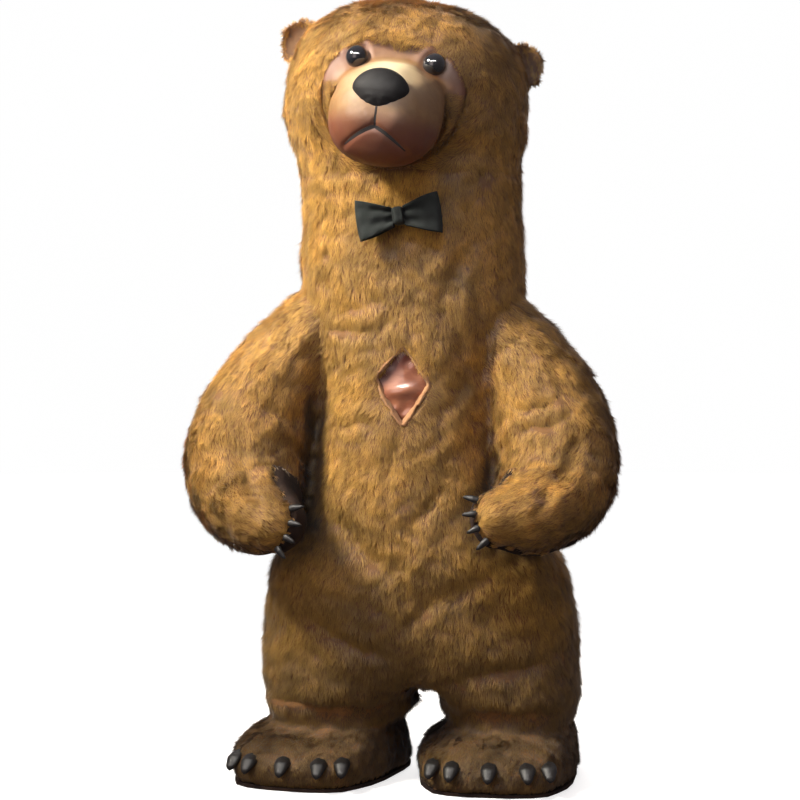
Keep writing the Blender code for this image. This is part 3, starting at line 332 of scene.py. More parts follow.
def clawFinish():
    finish = Finish("mouldedClaw", Specular_IOR_Level=0.5)
    streaks = finish.noise(160.0, 3.0, stretch=(1.0, 0.25, 1.0))
    return finish.set(
        Base_Color=finish.mix(streaks, (0.005, 0.005, 0.006), (0.022, 0.018, 0.015)),
        Roughness=finish.noise(220.0, 3.0) * 0.30 + 0.34,
        Normal=finish.bump(streaks, 0.0005, 0.7),
    )


def suedeFinish():
    finish = Finish("darkSuede", Roughness=0.92, Specular_IOR_Level=0.2)
    nap = finish.noise(420.0, 4.0) + finish.noise(45.0, 3.0) * 1.2
    wear = finish.noise(14.0, 4.0, distortion=0.5)
    return finish.set(
        Base_Color=finish.mix(wear.between(0.3, 0.7), (0.016, 0.010, 0.009), (0.046, 0.027, 0.019)),
        Normal=finish.bump(nap, 0.0008, 0.8),
    )


def satinFinish():
    finish = Finish("glossyLining", Coat_IOR=1.8, Coat_Roughness=0.10, Specular_IOR_Level=0.3)
    cloud = finish.noise(26.0, 3.0, stretch=(1.0, 1.0, 2.0))
    ripple = finish.noise(60.0, 2.0, stretch=(0.6, 1.0, 2.6))
    x, z = (finish.add("ShaderNodeSeparateXYZ", None, {0: finish.place}, output=axis) for axis in "XZ")
    # painted shadow of the flap: the upper-left corner is darker, and the coat is left off there
    flapShadow = (z - x * 0.8 + 0.259).between(0.016, 0.056)
    satin = finish.mix(cloud.between(0.3, 0.7), (0.270, 0.082, 0.034), (0.420, 0.155, 0.070))
    return finish.set(
        Base_Color=finish.mix(flapShadow, satin, (0.130, 0.036, 0.022)),
        Roughness=cloud * 0.16 + 0.30,
        Coat_Weight=1 - flapShadow,
        Normal=finish.bump(ripple, 0.00015, 0.4),
    )


def bowFinish():
    finish = Finish("bowCloth", Sheen_Weight=0.05, Specular_IOR_Level=0.25)
    values = {"Vector": finish.place, "Scale": 420.0, "Distortion": 0.4}
    ribs = finish.add("ShaderNodeTexWave", {"bands_direction": "Z"}, values, output="Fac")
    return finish.set(
        Base_Color=finish.mix(finish.noise(35.0, 3.0), (0.004, 0.007, 0.006), (0.012, 0.018, 0.016)),
        Roughness=finish.noise(80.0, 2.0) * 0.2 + 0.58,
        Normal=finish.bump(ribs, 0.0005, 0.5),
    )


def metalFinish():
    finish = Finish("dulledBrass", Metallic=1.0)
    scuffs = finish.noise(300.0, 4.0, stretch=(1.0, 1.0, 0.2))
    return finish.set(
        Base_Color=finish.mix(scuffs, (0.330, 0.270, 0.150), (0.620, 0.530, 0.340)),
        Roughness=scuffs * 0.35 + 0.25,
        Normal=finish.bump(scuffs, 0.0003, 0.4),
    )


def clothFinish(name, stains, dark, light, weave, raised, **fixed):
    # stained cloth: stains and weave are noise, and raised is how far its weave stands up
    finish = Finish(name, **fixed)
    colour = finish.mix(finish.noise(*stains), dark, light)
    return finish.set(Base_Color=colour, Normal=finish.bump(finish.noise(*weave), *raised))


cloths = {
    "plushBacking": [(40.0, 3.0), (0.165, 0.074, 0.022), (0.270, 0.125, 0.034), (900.0, 1.0), (0.0006,)],
    "blackFelt": [(500.0, 3.0), (0.010, 0.008, 0.008), (0.040, 0.026, 0.022), (500.0, 3.0), (0.0004,)],
    "rawEdge": [(60.0, 3.0), (0.260, 0.110, 0.040), (0.520, 0.270, 0.110), (700.0, 2.0), (0.0006,)],
    "bareEar": [(30.0, 3.0), (0.120, 0.054, 0.022), (0.230, 0.115, 0.044), (420.0, 3.0), (0.0006, 0.8)],
}
tapeWeave = (900.0, 1.0, (1.0, 1.0, 0.4))
cloths["zipTape"] = [tapeWeave, (0.045, 0.028, 0.014), (0.110, 0.070, 0.034), tapeWeave, (0.0004,)]
fur, faceSkin, noseBlack, eyeGloss = furFinish(), faceFinish(), noseFinish(), eyeFinish()
clawBlack, suede, satin = clawFinish(), suedeFinish(), satinFinish()
bowCloth, brass = bowFinish(), metalFinish()
backing = clothFinish("plushBacking", *cloths["plushBacking"], Roughness=0.95)
felt = clothFinish("blackFelt", *cloths["blackFelt"], Roughness=0.9)
tape = clothFinish("zipTape", *cloths["zipTape"], Roughness=0.85)
rawEdge = clothFinish("rawEdge", *cloths["rawEdge"], Roughness=0.9, Sheen_Weight=0.2)
earSkin = clothFinish("bareEar", *cloths["bareEar"], Roughness=0.85, Sheen_Weight=0.2)
print("finishes made")


turned = Matrix.Rotation(math.radians(head["roll"]), 4, "Y")
headFrame = Matrix.Translation((head["shift"], 0, head["rise"])) @ turned
headAxes = np.array(headFrame)
face = {"rise": 0.165, "wide": 0.180, "high": 0.150, "fore": 0.240}


def inHead(points):
    # (x, y, rise) in the head's axes, placed on the suit
    return np.asarray(points, float) @ headAxes[:3, :3].T + headAxes[:3, 3]


def fromHead(points):
    return (np.asarray(points, float) - headAxes[:3, 3]) @ headAxes[:3, :3]


faceCentre = inHead((0, -face["fore"], face["rise"]))


def faceReach(points):
    # how far outside the face's outline a point is, seen from the front
    own = fromHead(points)
    share = np.hypot(own[:, 0] / face["wide"], (own[:, 2] - face["rise"]) / face["high"])
    return (share - 1) * (face["wide"] + face["high"]) / 2


def curveThrough(knots, values, at):
    # values at some places on a smooth curve through the knots
    knots, values = np.asarray(knots, float), np.asarray(values, float)
    steps = np.diff(knots)
    slopes = np.diff(values) / steps
    tangents = np.concatenate([slopes[:1], (slopes[:-1] + slopes[1:]) / 2, slopes[-1:]])
    at = np.clip(np.asarray(at, float), knots[0], knots[-1])
    index = np.clip(np.searchsorted(knots, at, "right") - 1, 0, len(steps) - 1)
    share, step = (at - knots[index]) / steps[index], steps[index]
    rest = 1 - share
    return (
        values[index] * (1 + 2 * share) * rest**2
        + tangents[index] * step * share * rest**2
        + values[index + 1] * share**2 * (3 - 2 * share)
        - tangents[index + 1] * step * share**2 * rest
    )


def netMesh(name, nets, closed=False, poles=()):
    # one net of points, or the closed wall between two; a pole draws a net's last row to a point
    shape = bmesh.new()
    made = [[[shape.verts.new(point) for point in row] for row in net] for net in nets]
    for net in made:
        netFaces(shape, net, closed)
    if len(made) == 2:
        for edge in (0,) if poles else (0, -1):
            netFaces(shape, [net[edge] for net in made], closed)
        if not closed:
            for edge in (0, -1):
                netFaces(shape, [[row[edge] for row in net] for net in made], False)
    for net, pole in zip(made, poles):
        poleFaces(shape, net[-1], pole)
    bmesh.ops.recalc_face_normals(shape, faces=shape.faces)
    return meshFrom(shape, name)


def netFaces(shape, net, closed):
    for low, high in zip(net, net[1:]):
        for index in range(len(low) - (0 if closed else 1)):
            after = (index + 1) % len(low)
            shape.faces.new((low[index], low[after], high[after], high[index]))


def poleFaces(shape, ring, pole):
    tip = shape.verts.new(pole)
    for first, second in zip(ring, ring[1:] + ring[:1]):
        shape.faces.new((first, second, tip))


def netNormals(points, middle, closed=False):
    # outward normals of a net of points, away from the points in its middle
    if closed:
        wrapped = np.concatenate([points[:, -1:], points, points[:, :1]], axis=1)
        across = (wrapped[:, 2:] - wrapped[:, :-2]) / 2
    else:
        across = np.gradient(points, axis=1)
    normals = unit(np.cross(across, np.gradient(points, axis=0)))
    inward = ((points - middle) * normals).sum(-1, keepdims=True) < 0
    return np.where(inward, -normals, normals)


def squared(cosine, exponent=2 / 2.25):
    return np.sign(cosine) * np.abs(cosine) ** exponent


def giveAttribute(mesh, name, values):
    # a number or a vector at each point
    values = np.asarray(values, float)
    kind, field = ("FLOAT", "value") if values.ndim == 1 else ("FLOAT_VECTOR", "vector")
    mesh.attributes.new(name, kind, "POINT").data.foreach_set(field, values.ravel())


def standFor(piece, slot, *names, body="suit"):
    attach(piece, body)
    if names:
        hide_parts(*names)
    return piece


def hollow(distance, width, depth):
    return depth * np.exp(-((distance / width) ** 2))


muzzle = {
    "rings": [  # fore, rise, wide, up, down, taper
        (0.186, 0.165, 0.203, 0.172, 0.172, 0.12),
        (0.206, 0.165, 0.184, 0.153, 0.154, 0.12),
        (0.238, 0.165, 0.180, 0.148, 0.150, 0.12),
        (0.258, 0.164, 0.173, 0.144, 0.150, 0.11),
        (0.268, 0.158, 0.156, 0.132, 0.149, 0.08),
        (0.280, 0.146, 0.146, 0.120, 0.146, 0.04),
        (0.312, 0.135, 0.140, 0.115, 0.140, 0.00),
        (0.350, 0.125, 0.137, 0.110, 0.134, -0.05),
        (0.390, 0.118, 0.128, 0.100, 0.124, -0.05),
        (0.425, 0.112, 0.112, 0.086, 0.108, -0.03),
        (0.450, 0.110, 0.086, 0.068, 0.084, 0.00),
        (0.466, 0.110, 0.054, 0.044, 0.054, 0.00),
        (0.472, 0.110, 0.026, 0.022, 0.026, 0.00),
    ],
    "tip": 0.4735,
    "columns": 132,
    "rows": 112,
}
eyes = {"radius": 0.029, "out": 0.0965, "fore": 0.270, "rise": 0.261, "socket": -0.0075, "lid": 0.0055}
mouth = {"rise": 0.074, "half": 0.074, "drop": 0.046, "bend": 1.25}
mouth |= {"line": 0.0052, "groove": -0.0036, "raised": 0.0012}
nose = {"fore": 0.438, "rise": 0.160, "half": 0.074, "deep": 0.046, "tall": 0.058, "narrow": 0.37}


def mouthHeight(x):
    return mouth["rise"] - mouth["drop"] * np.abs(x / mouth["half"]) ** mouth["bend"]


def sculpt(x, rise, fore):
    # how far the moulded face stands out from its plain rings
    front = eased((fore - 0.36) / 0.05)
    push = np.zeros_like(x)
    for side in (-1, 1):
        toEye = np.hypot(x - side * eyes["out"], rise - eyes["rise"])
        push += hollow(toEye, 0.030, eyes["socket"])
        lid = 0.55 + 0.45 * np.tanh((rise - eyes["rise"]) / 0.012)
        push += hollow(toEye - 0.040, 0.010, eyes["lid"]) * lid
        push += hollow(np.hypot(x - side * 0.070, (rise - 0.312) * 1.5), 0.034, 0.0050)
        push += hollow(np.hypot(x - side * 0.046, (rise - 0.088) * 1.2), 0.034, 0.0060) * front
        push += hollow(np.hypot(x - side * 0.108, (rise - 0.150) * 0.8), 0.030, -0.0050)
        push += hollow(np.hypot(x - side * 0.060, (rise - 0.205) * 0.7), 0.022, -0.0030)
    push += hollow(np.hypot(x, (rise - 0.010) * 1.3), 0.036, 0.0050) * front
    slope = mouth["drop"] / mouth["half"]
    beside = np.clip(np.abs(x) - mouth["half"], 0, 1)
    toStroke = np.hypot((rise - mouthHeight(x)) / math.hypot(1, slope), beside)
    push += hollow(toStroke, 0.0075, mouth["groove"]) * front
    toStem = np.hypot(x, np.clip(mouth["rise"] - rise, 0, 1) + np.clip(rise - 0.125, 0, 1))
    push += hollow(toStem, 0.0065, mouth["groove"]) * front
    uneven = np.sin(x * 61 + rise * 23) * np.sin(rise * 47 - fore * 31) + 0.6 * np.sin(x * 97 - fore * 71)
    return push + 0.0007 * uneven


def makeFace():
    fore, rise, wide, up, down, taper = np.array(muzzle["rings"]).T
    rows = np.linspace(0, 1, muzzle["rows"])[:, None]
    angle = (np.arange(muzzle["columns"]) / muzzle["columns"] * 2 * math.pi)[None]
    at = np.interp(rows * (len(fore) - 1), np.arange(len(fore)), fore)
    high = np.where(np.sin(angle) > 0, curveThrough(fore, up, at), curveThrough(fore, down, at))
    spread = 1 + curveThrough(fore, taper, at) * np.sin(angle)
    across = curveThrough(fore, wide, at) * spread * squared(np.cos(angle))
    climb = curveThrough(fore, rise, at) + high * squared(np.sin(angle))
    points = np.stack(np.broadcast_arrays(across, -at, climb), axis=-1)
    normals = netNormals(points, np.array((0, -0.26, 0.14)), closed=True)
    x, ahead, level = points[..., 0], -points[..., 1], points[..., 2]
    points = points + normals * sculpt(x, level, ahead)[..., None]
    tip = (0, -muzzle["tip"], rise[-1])
    own = netMesh("faceInHead", [points], closed=True, poles=[tip])
    tree = surfaceOf(own)
    bpy.data.meshes.remove(own)
    mesh = netMesh("face", [inHead(points)], closed=True, poles=[inHead(tip)])
    ends = ((x, 0), (ahead, muzzle["tip"]), (level, rise[-1]))
    x, ahead, level = (np.append(values, end) for values, end in ends)
    bridge = hollow(x, 0.062, 1.0) * eased((level - 0.150) / 0.05) * eased((ahead - 0.272) / 0.05)
    cheek = hollow(np.hypot(np.abs(x) - 0.072, level - 0.178), 0.045, 0.18) * eased((ahead - 0.29) / 0.04)
    giveAttribute(mesh, "pale", np.clip(bridge + cheek, 0, 1))
    # partly painted shade: the face is darker under the nose, round the mouth and round the eye sockets
    under = eased((0.128 - level) / 0.06) * eased((ahead - 0.30) / 0.06)
    toEyes = [np.hypot(x - side * eyes["out"], level - eyes["rise"]) for side in (-1, 1)]
    eyeShade = sum(hollow(away, 0.040, 0.7) for away in toEyes)
    giveAttribute(mesh, "warm", np.clip(under + eyeShade * (ahead < 0.33), 0, 1))
    # painted shadow of the fur's fringe: the face is darker near its rim
    giveAttribute(mesh, "edge", 1 - eased((ahead - 0.256) / 0.034))
    standFor(newPiece("mouldedFace", mesh, faceSkin), "face_skin", "face")
    return tree, mesh


def makeMouth(surface):
    # a tapered line that lies in its groove: the two strokes and the stem up to the nose
    def onFace(x, rise, lift):
        hit = surface.ray_cast(Vector((x, -1.0, rise)), Vector((0, 1, 0)))[0]
        return (x, (hit.y if hit else -0.44) - lift, rise)

    runs = []
    for side in (-1, 1):
        swing = np.linspace(0, 1, 40)
        middle = np.stack([side * swing * mouth["half"], mouthHeight(swing * mouth["half"])], axis=-1)
        runs.append((middle, mouth["line"] * (0.30 + 0.70 * (1 - swing**3) * eased(0.55 + swing * 4))))
    stem = np.linspace(mouth["rise"] - 0.002, 0.122, 16)
    runs.append((np.stack([np.zeros_like(stem), stem], axis=-1), np.full(16, mouth["line"] * 0.62)))
    whole = bmesh.new()
    for middle, half in runs:
        along = unit(np.gradient(middle, axis=0))
        aside = np.stack([-along[:, 1], along[:, 0]], axis=-1)
        top, under = [], []
        for spot, off, width in zip(middle, aside, half):
            row = [(share, spot + off * width * share) for share in np.linspace(-1, 1, 7)]
            top.append([onFace(*place, mouth["raised"] * (1 - share**2) - 0.0003) for share, place in row])
            under.append([onFace(*place, -0.0022) for share, place in row])
        part = netMesh("stroke", [inHead(np.array(top)), inHead(np.array(under))])
        whole.from_mesh(part)
        bpy.data.meshes.remove(part)
    standFor(newPiece("mouthLine", meshFrom(whole, "mouthLine"), felt), "mouth_felt", "mouth")


def ballNet(columns, rows):
    # unit directions in rings from below to above, and their two poles
    turn = (np.arange(columns) / columns * 2 * math.pi)[None]
    climb = np.linspace(-math.pi / 2, math.pi / 2, rows + 2)[1:-1, None]
    ways = (np.cos(climb) * np.cos(turn), np.cos(climb) * np.sin(turn), np.sin(climb))
    return np.stack(np.broadcast_arrays(*ways), axis=-1)


def ballMesh(name, columns, rows, shaped):
    # a closed form whose unit directions are placed by a function
    net = shaped(ballNet(columns, rows))
    low, high = shaped(np.array([(0.0, 0.0, -1.0), (0.0, 0.0, 1.0)]))
    shape = bmesh.new()
    made = [[shape.verts.new(point) for point in row] for row in net]
    netFaces(shape, made, True)
    for ring, pole in ((made[0], low), (made[-1], high)):
        poleFaces(shape, ring, pole)
    bmesh.ops.recalc_face_normals(shape, faces=shape.faces)
    return meshFrom(shape, name)


def makeNose():
    def shaped(ways):
        x, y, z = ways[..., 0], ways[..., 1], ways[..., 2]
        narrow = 1 - nose["narrow"] * (1 - z) / 2
        level = np.where(z < 0, z, np.abs(z) ** 1.25)
        inward = np.zeros_like(x)
        for side in (-1, 1):
            nostril = np.hypot((x - side * 0.44) * 1.0, (z + 0.26 + 0.30 * np.abs(x)) * 1.8)
            inward += hollow(nostril, 0.15, 0.0012) * (y < 0)
            inward -= hollow(nostril - 0.27, 0.10, 0.0012) * (y < 0)
        inward += hollow(x, 0.06, 0.0012) * eased(-z * 2) * (y < 0)
        own = np.stack(
            [
                x * nose["half"] * narrow * (1.12 - 0.12 * z * z),
                y * nose["deep"] - nose["fore"] + inward,
                level * nose["tall"] + nose["rise"],
            ],
            axis=-1,
        )
        return inHead(own)

    standFor(newPiece("moulded_nose", ballMesh("nose", 68, 44, shaped), noseBlack), "nose_black", "nose")


def makeEyes():
    for side, name in ((-1, "R"), (1, "L")):

        def shaped(ways, side=side):
            middle = np.array((side * eyes["out"], -eyes["fore"], eyes["rise"]))
            return inHead(middle + ways[..., [0, 2, 1]] * eyes["radius"])

        ball = newPiece(f"eye{name}Gloss", ballMesh("eye", 48, 32, shaped), eyeGloss)
        standFor(ball, "eye_gloss", f"eye_{name}")


clawValues = {"voxel": 0.0021, "bootVoxel": 0.0032, "rounds": 16}
clawValues |= {"bootSize": (1.30, 1.12, 1.02), "bootDrop": 0.012}


def makeClaws():
    for name in sorted(nodes):
        if "claw" not in name:
            continue
        size = clawValues["bootVoxel" if name.startswith("boot") else "voxel"]
        mesh = remeshed(joined([name]), size)
        smoothed(mesh, clawValues["rounds"])
        points, normals = pointsOf(mesh), normalsOf(mesh)
        middle = (points.min(0) + points.max(0)) / 2
        if name.startswith("boot"):
            points = middle + (points - middle) * clawValues["bootSize"]
            points = points - (0, 0, clawValues["bootDrop"])
            points[:, 2] = np.maximum(points[:, 2], 0.001 - suit["shoulderHeight"])
        ridges = np.sin(points[:, 0] * 1900 + np.sin(points[:, 2] * 160) * 1.5)
        setPoints(mesh, points + normals * (0.00012 * ridges)[:, None])
        standFor(newPiece(name.replace("_claw_", "Claw"), mesh, clawBlack), "claw_black", name)


seamMiddle = (-0.001, 0, -0.259)  # of the opened seam, on the suit's front
lining = {"swell": 0.004, "middle": (-0.001, -0.259), "wide": 0.058, "tall": 0.078, "wrinkle": 0.0016}
lining |= {"back": 0.014, "ridge": 0.0085, "ridgeHeight": -0.276, "ridgeWidth": 0.018}
lining |= {"sink": 0.004, "fold": 0.001}


def makeLining():
    # the smooth lining that swells through the opened seam, drawn in at its ends
    mesh = joined(["chest_lining"])
    shape = bmesh.new()
    shape.from_mesh(mesh)
    bmesh.ops.recalc_face_normals(shape, faces=shape.faces)
    rear = [face for face in shape.faces if face.normal.y > -0.35]
    bmesh.ops.delete(shape, geom=rear, context="FACES")
    for _ in range(3):
        bmesh.ops.subdivide_edges(shape, edges=shape.edges[:], cuts=1, use_grid_fill=True)
    shape.to_mesh(mesh)
    shape.free()
    points = pointsOf(mesh)
    x, z = points[:, 0] - lining["middle"][0], points[:, 2] - lining["middle"][1]
    terms = np.stack([x**across * z**up for across in range(4) for up in range(4 - across)], axis=-1)
    points[:, 1] = terms @ np.linalg.lstsq(terms, points[:, 1], rcond=None)[0]
    bulge = np.clip(1 - (x / lining["wide"]) ** 2 - (z / lining["tall"]) ** 2, 0, 1) ** 1.5
    spread = np.arctan2(z, x)
    radius = np.hypot(x, z)
    gathers = np.sin(spread * 9 + np.sin(radius * 90)) * eased((radius - 0.034) / 0.03)
    ridge = hollow(points[:, 2] - lining["ridgeHeight"] - 0.12 * x, lining["ridgeWidth"], lining["ridge"])
    points[:, 1] -= lining["swell"] * bulge + lining["wrinkle"] * gathers + ridge * hollow(x, 0.060, 1.0)
    past = eased((np.hypot(x / lining["wide"], z / lining["tall"]) - 0.95) / 0.5)
    fold = lining["fold"] * eased((z - 0.004 - 0.3 * x) / 0.06)
    points[:, 1] += lining["back"] * past + lining["sink"] + fold
    setPoints(mesh, points)
    piece = standFor(newPiece("glossyLining", mesh, satin), "satin_lining", "chest_lining")


gap = {
    "corners": [(0.001, 1.100), (-0.036, 1.052), (-0.065, 1.018), (-0.036, 0.956)]
    + [(-0.001, 0.902), (0.032, 0.946), (0.063, 1.001), (0.030, 1.055)],
    "steps": 30,
    # out from the edge and up from the backing
    "lip": [(-0.007, -0.0075), (-0.002, -0.0035), (0.0005, 0.0010), (0.0025, 0.0040)]
    + [(0.0055, 0.0052), (0.0090, 0.0040), (0.0115, 0.0010)],
    "ragged": 0.0030,
    "threads": 34,
}


def gapLine():
    # the opened seam's edge, close round, as x and z, with the way out from its middle
    corners = np.array(gap["corners"]) - (0, suit["shoulderHeight"])
    after = np.roll(corners, -1, axis=0)
    share = (np.arange(gap["steps"]) / gap["steps"])[None, :, None]
    line = (corners[:, None] * (1 - share) + after[:, None] * share).reshape(-1, 2)
    for _ in range(10):
        line = (np.roll(line, 1, axis=0) + 2 * line + np.roll(line, -1, axis=0)) / 4
    along = unit(np.roll(line, -1, axis=0) - np.roll(line, 1, axis=0))
    out = np.stack([along[:, 1], -along[:, 0]], axis=-1)
    inward = ((line - line.mean(0)) * out).sum(-1, keepdims=True) < 0
    return line, np.where(inward, -out, out)


def makeRipEdge():
    # the cut edge of the backing, curled out all round the gap, with broken threads on it
    line, out = gapLine()
    front = joined(["body_front_R", "body_front_L"])
    tree = surfaceOf(front)
    bpy.data.meshes.remove(front)
    maker = np.random.default_rng(5)
    turn = np.arange(len(line)) / len(line) * 2 * math.pi
    waves = sum(np.sin(turn * k + maker.uniform(0, 6)) / k**0.6 for k in (2, 3, 5, 9, 14, 23, 37, 53))
    level = []
    for spot, way in zip(line, out):
        x, z = spot + way * 0.010
        starts = [Vector((x + aside, -1.0, z)) for aside in (0, 0.004)]
        hits = [tree.ray_cast(start, Vector((0, 1, 0)))[0] for start in starts]
        level.append(next(hit.y for hit in hits if hit))
    level = np.array(level)
    for _ in range(8):
        level = (np.roll(level, 1) + 2 * level + np.roll(level, -1)) / 4
    # the lower edges curl out further than the upper ones
    lowEdge = 0.34 + 0.52 * eased(-(line[:, 1] - line[:, 1].mean()) / 0.03)
    size = np.clip(1 + 0.40 * waves, 0.25, 1.9) * lowEdge
    rows = []
    for away, rise in gap["lip"]:
        jag = gap["ragged"] * waves * (1 if away > 0.010 else 0.4)
        xz = line + out * (away * size + jag)[:, None]
        y = level + plush["inset"] - rise * size
        rows.append(np.stack([xz[:, 0], y, xz[:, 1]], axis=-1))
    outer = np.array(rows)
    inner = outer + (0, 0.0012, 0)
    mesh = netMesh("ripEdge", [outer, inner], closed=True)
    edge = standFor(newPiece("ripEdge", mesh, rawEdge), "body_plush")
    threads = bmesh.new()
    for _ in range(gap["threads"]):
        index = maker.integers(len(line))
        start = outer[3, index]
        inwardWay = -np.array((out[index, 0], 0, out[index, 1]))
        side = np.array((out[index, 1], 0, -out[index, 0])) * maker.uniform(-0.7, 0.7)
        length = maker.uniform(0.006, 0.020)
        share = np.linspace(0, 1, 6)[:, None]
        path = start + (inwardWay + side) * share * length * 0.8
        path = path + np.array((0, -0.0035, 0)) * np.sin(share * math.pi)
        path = path + np.array((0, 0, -0.5 * length)) * share**2
        thick = (0.00045 * (1 - 0.7 * share))[:, :, None]
        ring = np.array([(math.cos(a), 0, math.sin(a)) for a in (0, 2.1, 4.2)])
        net = path[:, None] + ring[None] * thick
        part = netMesh("thread", [net[:-1]], closed=True, poles=[net[-1].mean(0)])
        threads.from_mesh(part)
        bpy.data.meshes.remove(part)
    mesh = meshFrom(threads, "brokenThreads")
    loose = standFor(newPiece("brokenThreads", mesh, rawEdge), "body_plush")
    return [edge, loose]


bow = {
    "place": (-0.0067, -0.2582, 0.158),
    "lean": -8.0,
    "run": [  # along, out, fore, tall
        (0.00, 0.0144, 0.012, 0.024),
        (0.16, 0.036, 0.017, 0.031),
        (0.32, 0.072, 0.020, 0.043),
        (0.45, 0.101, 0.013, 0.050),
        (0.50, 0.107, 0.000, 0.052),
        (0.55, 0.101, -0.010, 0.050),
        (0.68, 0.072, -0.013, 0.043),
        (0.84, 0.036, -0.012, 0.031),
        (1.00, 0.0144, -0.009, 0.024),
    ],
    "wall": 0.0018,
    "pleat": 0.0042,
    "knot": (0.0150, 0.0262, 0.0228),
}


def makeBow():
    lean = Matrix.Rotation(math.radians(bow["lean"]), 4, "Y")
    place = np.array(Matrix.Translation(bow["place"]) @ lean)
    along, out, fore, tall = np.array(bow["run"]).T
    at, up = np.linspace(0, 1, 72)[:, None], np.linspace(-1, 1, 28)[None]
    for side, name in ((-1, "R"), (1, "L")):
        reach, ahead, high = (curveThrough(along, values, at) for values in (out, fore, tall))
        near = np.clip(1 - reach / out.max(), 0, 1)
        pleats = bow["pleat"] * np.cos(up * 7.5 + side * 0.6) * near**0.7
        ripples = 0.0012 * np.sin(reach * 130 + up * 3 + side) * np.sin(up * 4.5 - side * reach * 40)
        sag = -0.004 * (1 - near) ** 2 * side + 0.002 * np.sin(up * 3 + 1)
        x = side * (reach - 0.004 * up**2 * (1 - near))
        y = -ahead - (pleats + ripples) * np.sign(ahead + 1e-9)
        points = np.stack(np.broadcast_arrays(x, y, up * high + sag), axis=-1)
        middle = np.stack(np.broadcast_arrays(side * 0.060, 0 * x, points[..., 2]), axis=-1)
        inner = points - netNormals(points, middle) * bow["wall"]
        nets = [net @ place[:3, :3].T + place[:3, 3] for net in (points, inner)]
        mesh = netMesh("bowLoop", nets)
        piece = standFor(newPiece(f"bowLoop{name}", mesh, bowCloth), "bow_cloth", f"bow_loop_{name}")

    def shaped(ways):
        x, y, z = (squared(ways[..., axis], 0.55) for axis in range(3))
        fold = 1 + 0.05 * np.cos(ways[..., 0] * 9 + 0.7) + 0.03 * np.sin(ways[..., 0] * 4 + ways[..., 2] * 3)
        width = 1 - 0.10 * ways[..., 2] ** 2 + 0.08 * np.abs(ways[..., 2])
        half = bow["knot"]
        own = np.stack([x * half[0] * width, y * half[1] * fold, z * half[2] * (0.96 + 0.04 * fold)], axis=-1)
        return own @ place[:3, :3].T + place[:3, 3]

    knot = standFor(newPiece("bowKnot", ballMesh("knot", 72, 40, shaped), bowCloth), "bow_cloth", "bow_knot")


zipper = {
    "pitch": 0.0032,
    "tooth": (0.0056, 0.0026, 0.0017),  # across, deep, tall
    "overlap": 0.0016,
    "tapeWall": 0.0008,
    "stitch": (0.0004, 0.0004, 0.0026),
    "stitchPitch": 0.0042,
}


def zipLine():
    # points down the middle of the chain's face, from its lowest to its highest, and its half-width
    points = pointsOf(joined(["zip_chain"]))
    rows = {}
    for x, y, z in points:
        rows.setdefault(round(z, 4), []).append((x, y))
    line, halves = [], []
    for z in sorted(rows):
        spots = np.array(rows[z])
        line.append((spots[:, 0].mean(), spots[:, 1].max(), z))
        halves.append(np.ptp(spots[:, 0]) / 2)
    return np.array(line), np.array(halves)


def boxMesh(name, sizes, bevel):
    shape = bmesh.new()
    bmesh.ops.create_cube(shape, size=1.0)
    for vert in shape.verts:
        vert.co *= Vector(sizes)
    if bevel:
        bmesh.ops.bevel(shape, geom=shape.edges[:], offset=bevel, segments=1, affect="EDGES")
    return meshFrom(shape, name)


def repeatTree():
    # one small shape on every point, tilted along the line that the points make
    tree = Tree("repeatTree", Shape="NodeSocketObject", Finish="NodeSocketMaterial")
    add = tree.add
    lean = tree.named("lean", "FLOAT_VECTOR")
    turn = add("FunctionNodeAlignRotationToVector", {"axis": "Z"}, {"Vector": lean})
    shape = add("GeometryNodeObjectInfo", None, {"Object": tree.value("Shape")}, output="Geometry")
    given = {"Points": tree.value("Geometry"), "Instance": shape, "Rotation": turn}
    return tree.close(add("GeometryNodeInstanceOnPoints", None, given))


def repeated(tree, name, points, leans, shape, finish):
    carrier = bpy.data.meshes.new(name)
    carrier.from_pydata([tuple(point) for point in points], [], [])
    giveAttribute(carrier, "lean", leans)
    model = newPiece(name + "Model", shape, smooth=False)
    mesh = tree.grow(newPiece(name + "Carrier", carrier, smooth=False), Shape=model, Finish=finish)
    bpy.data.objects.remove(model)
    return newPiece(name, mesh, finish, smooth=False)


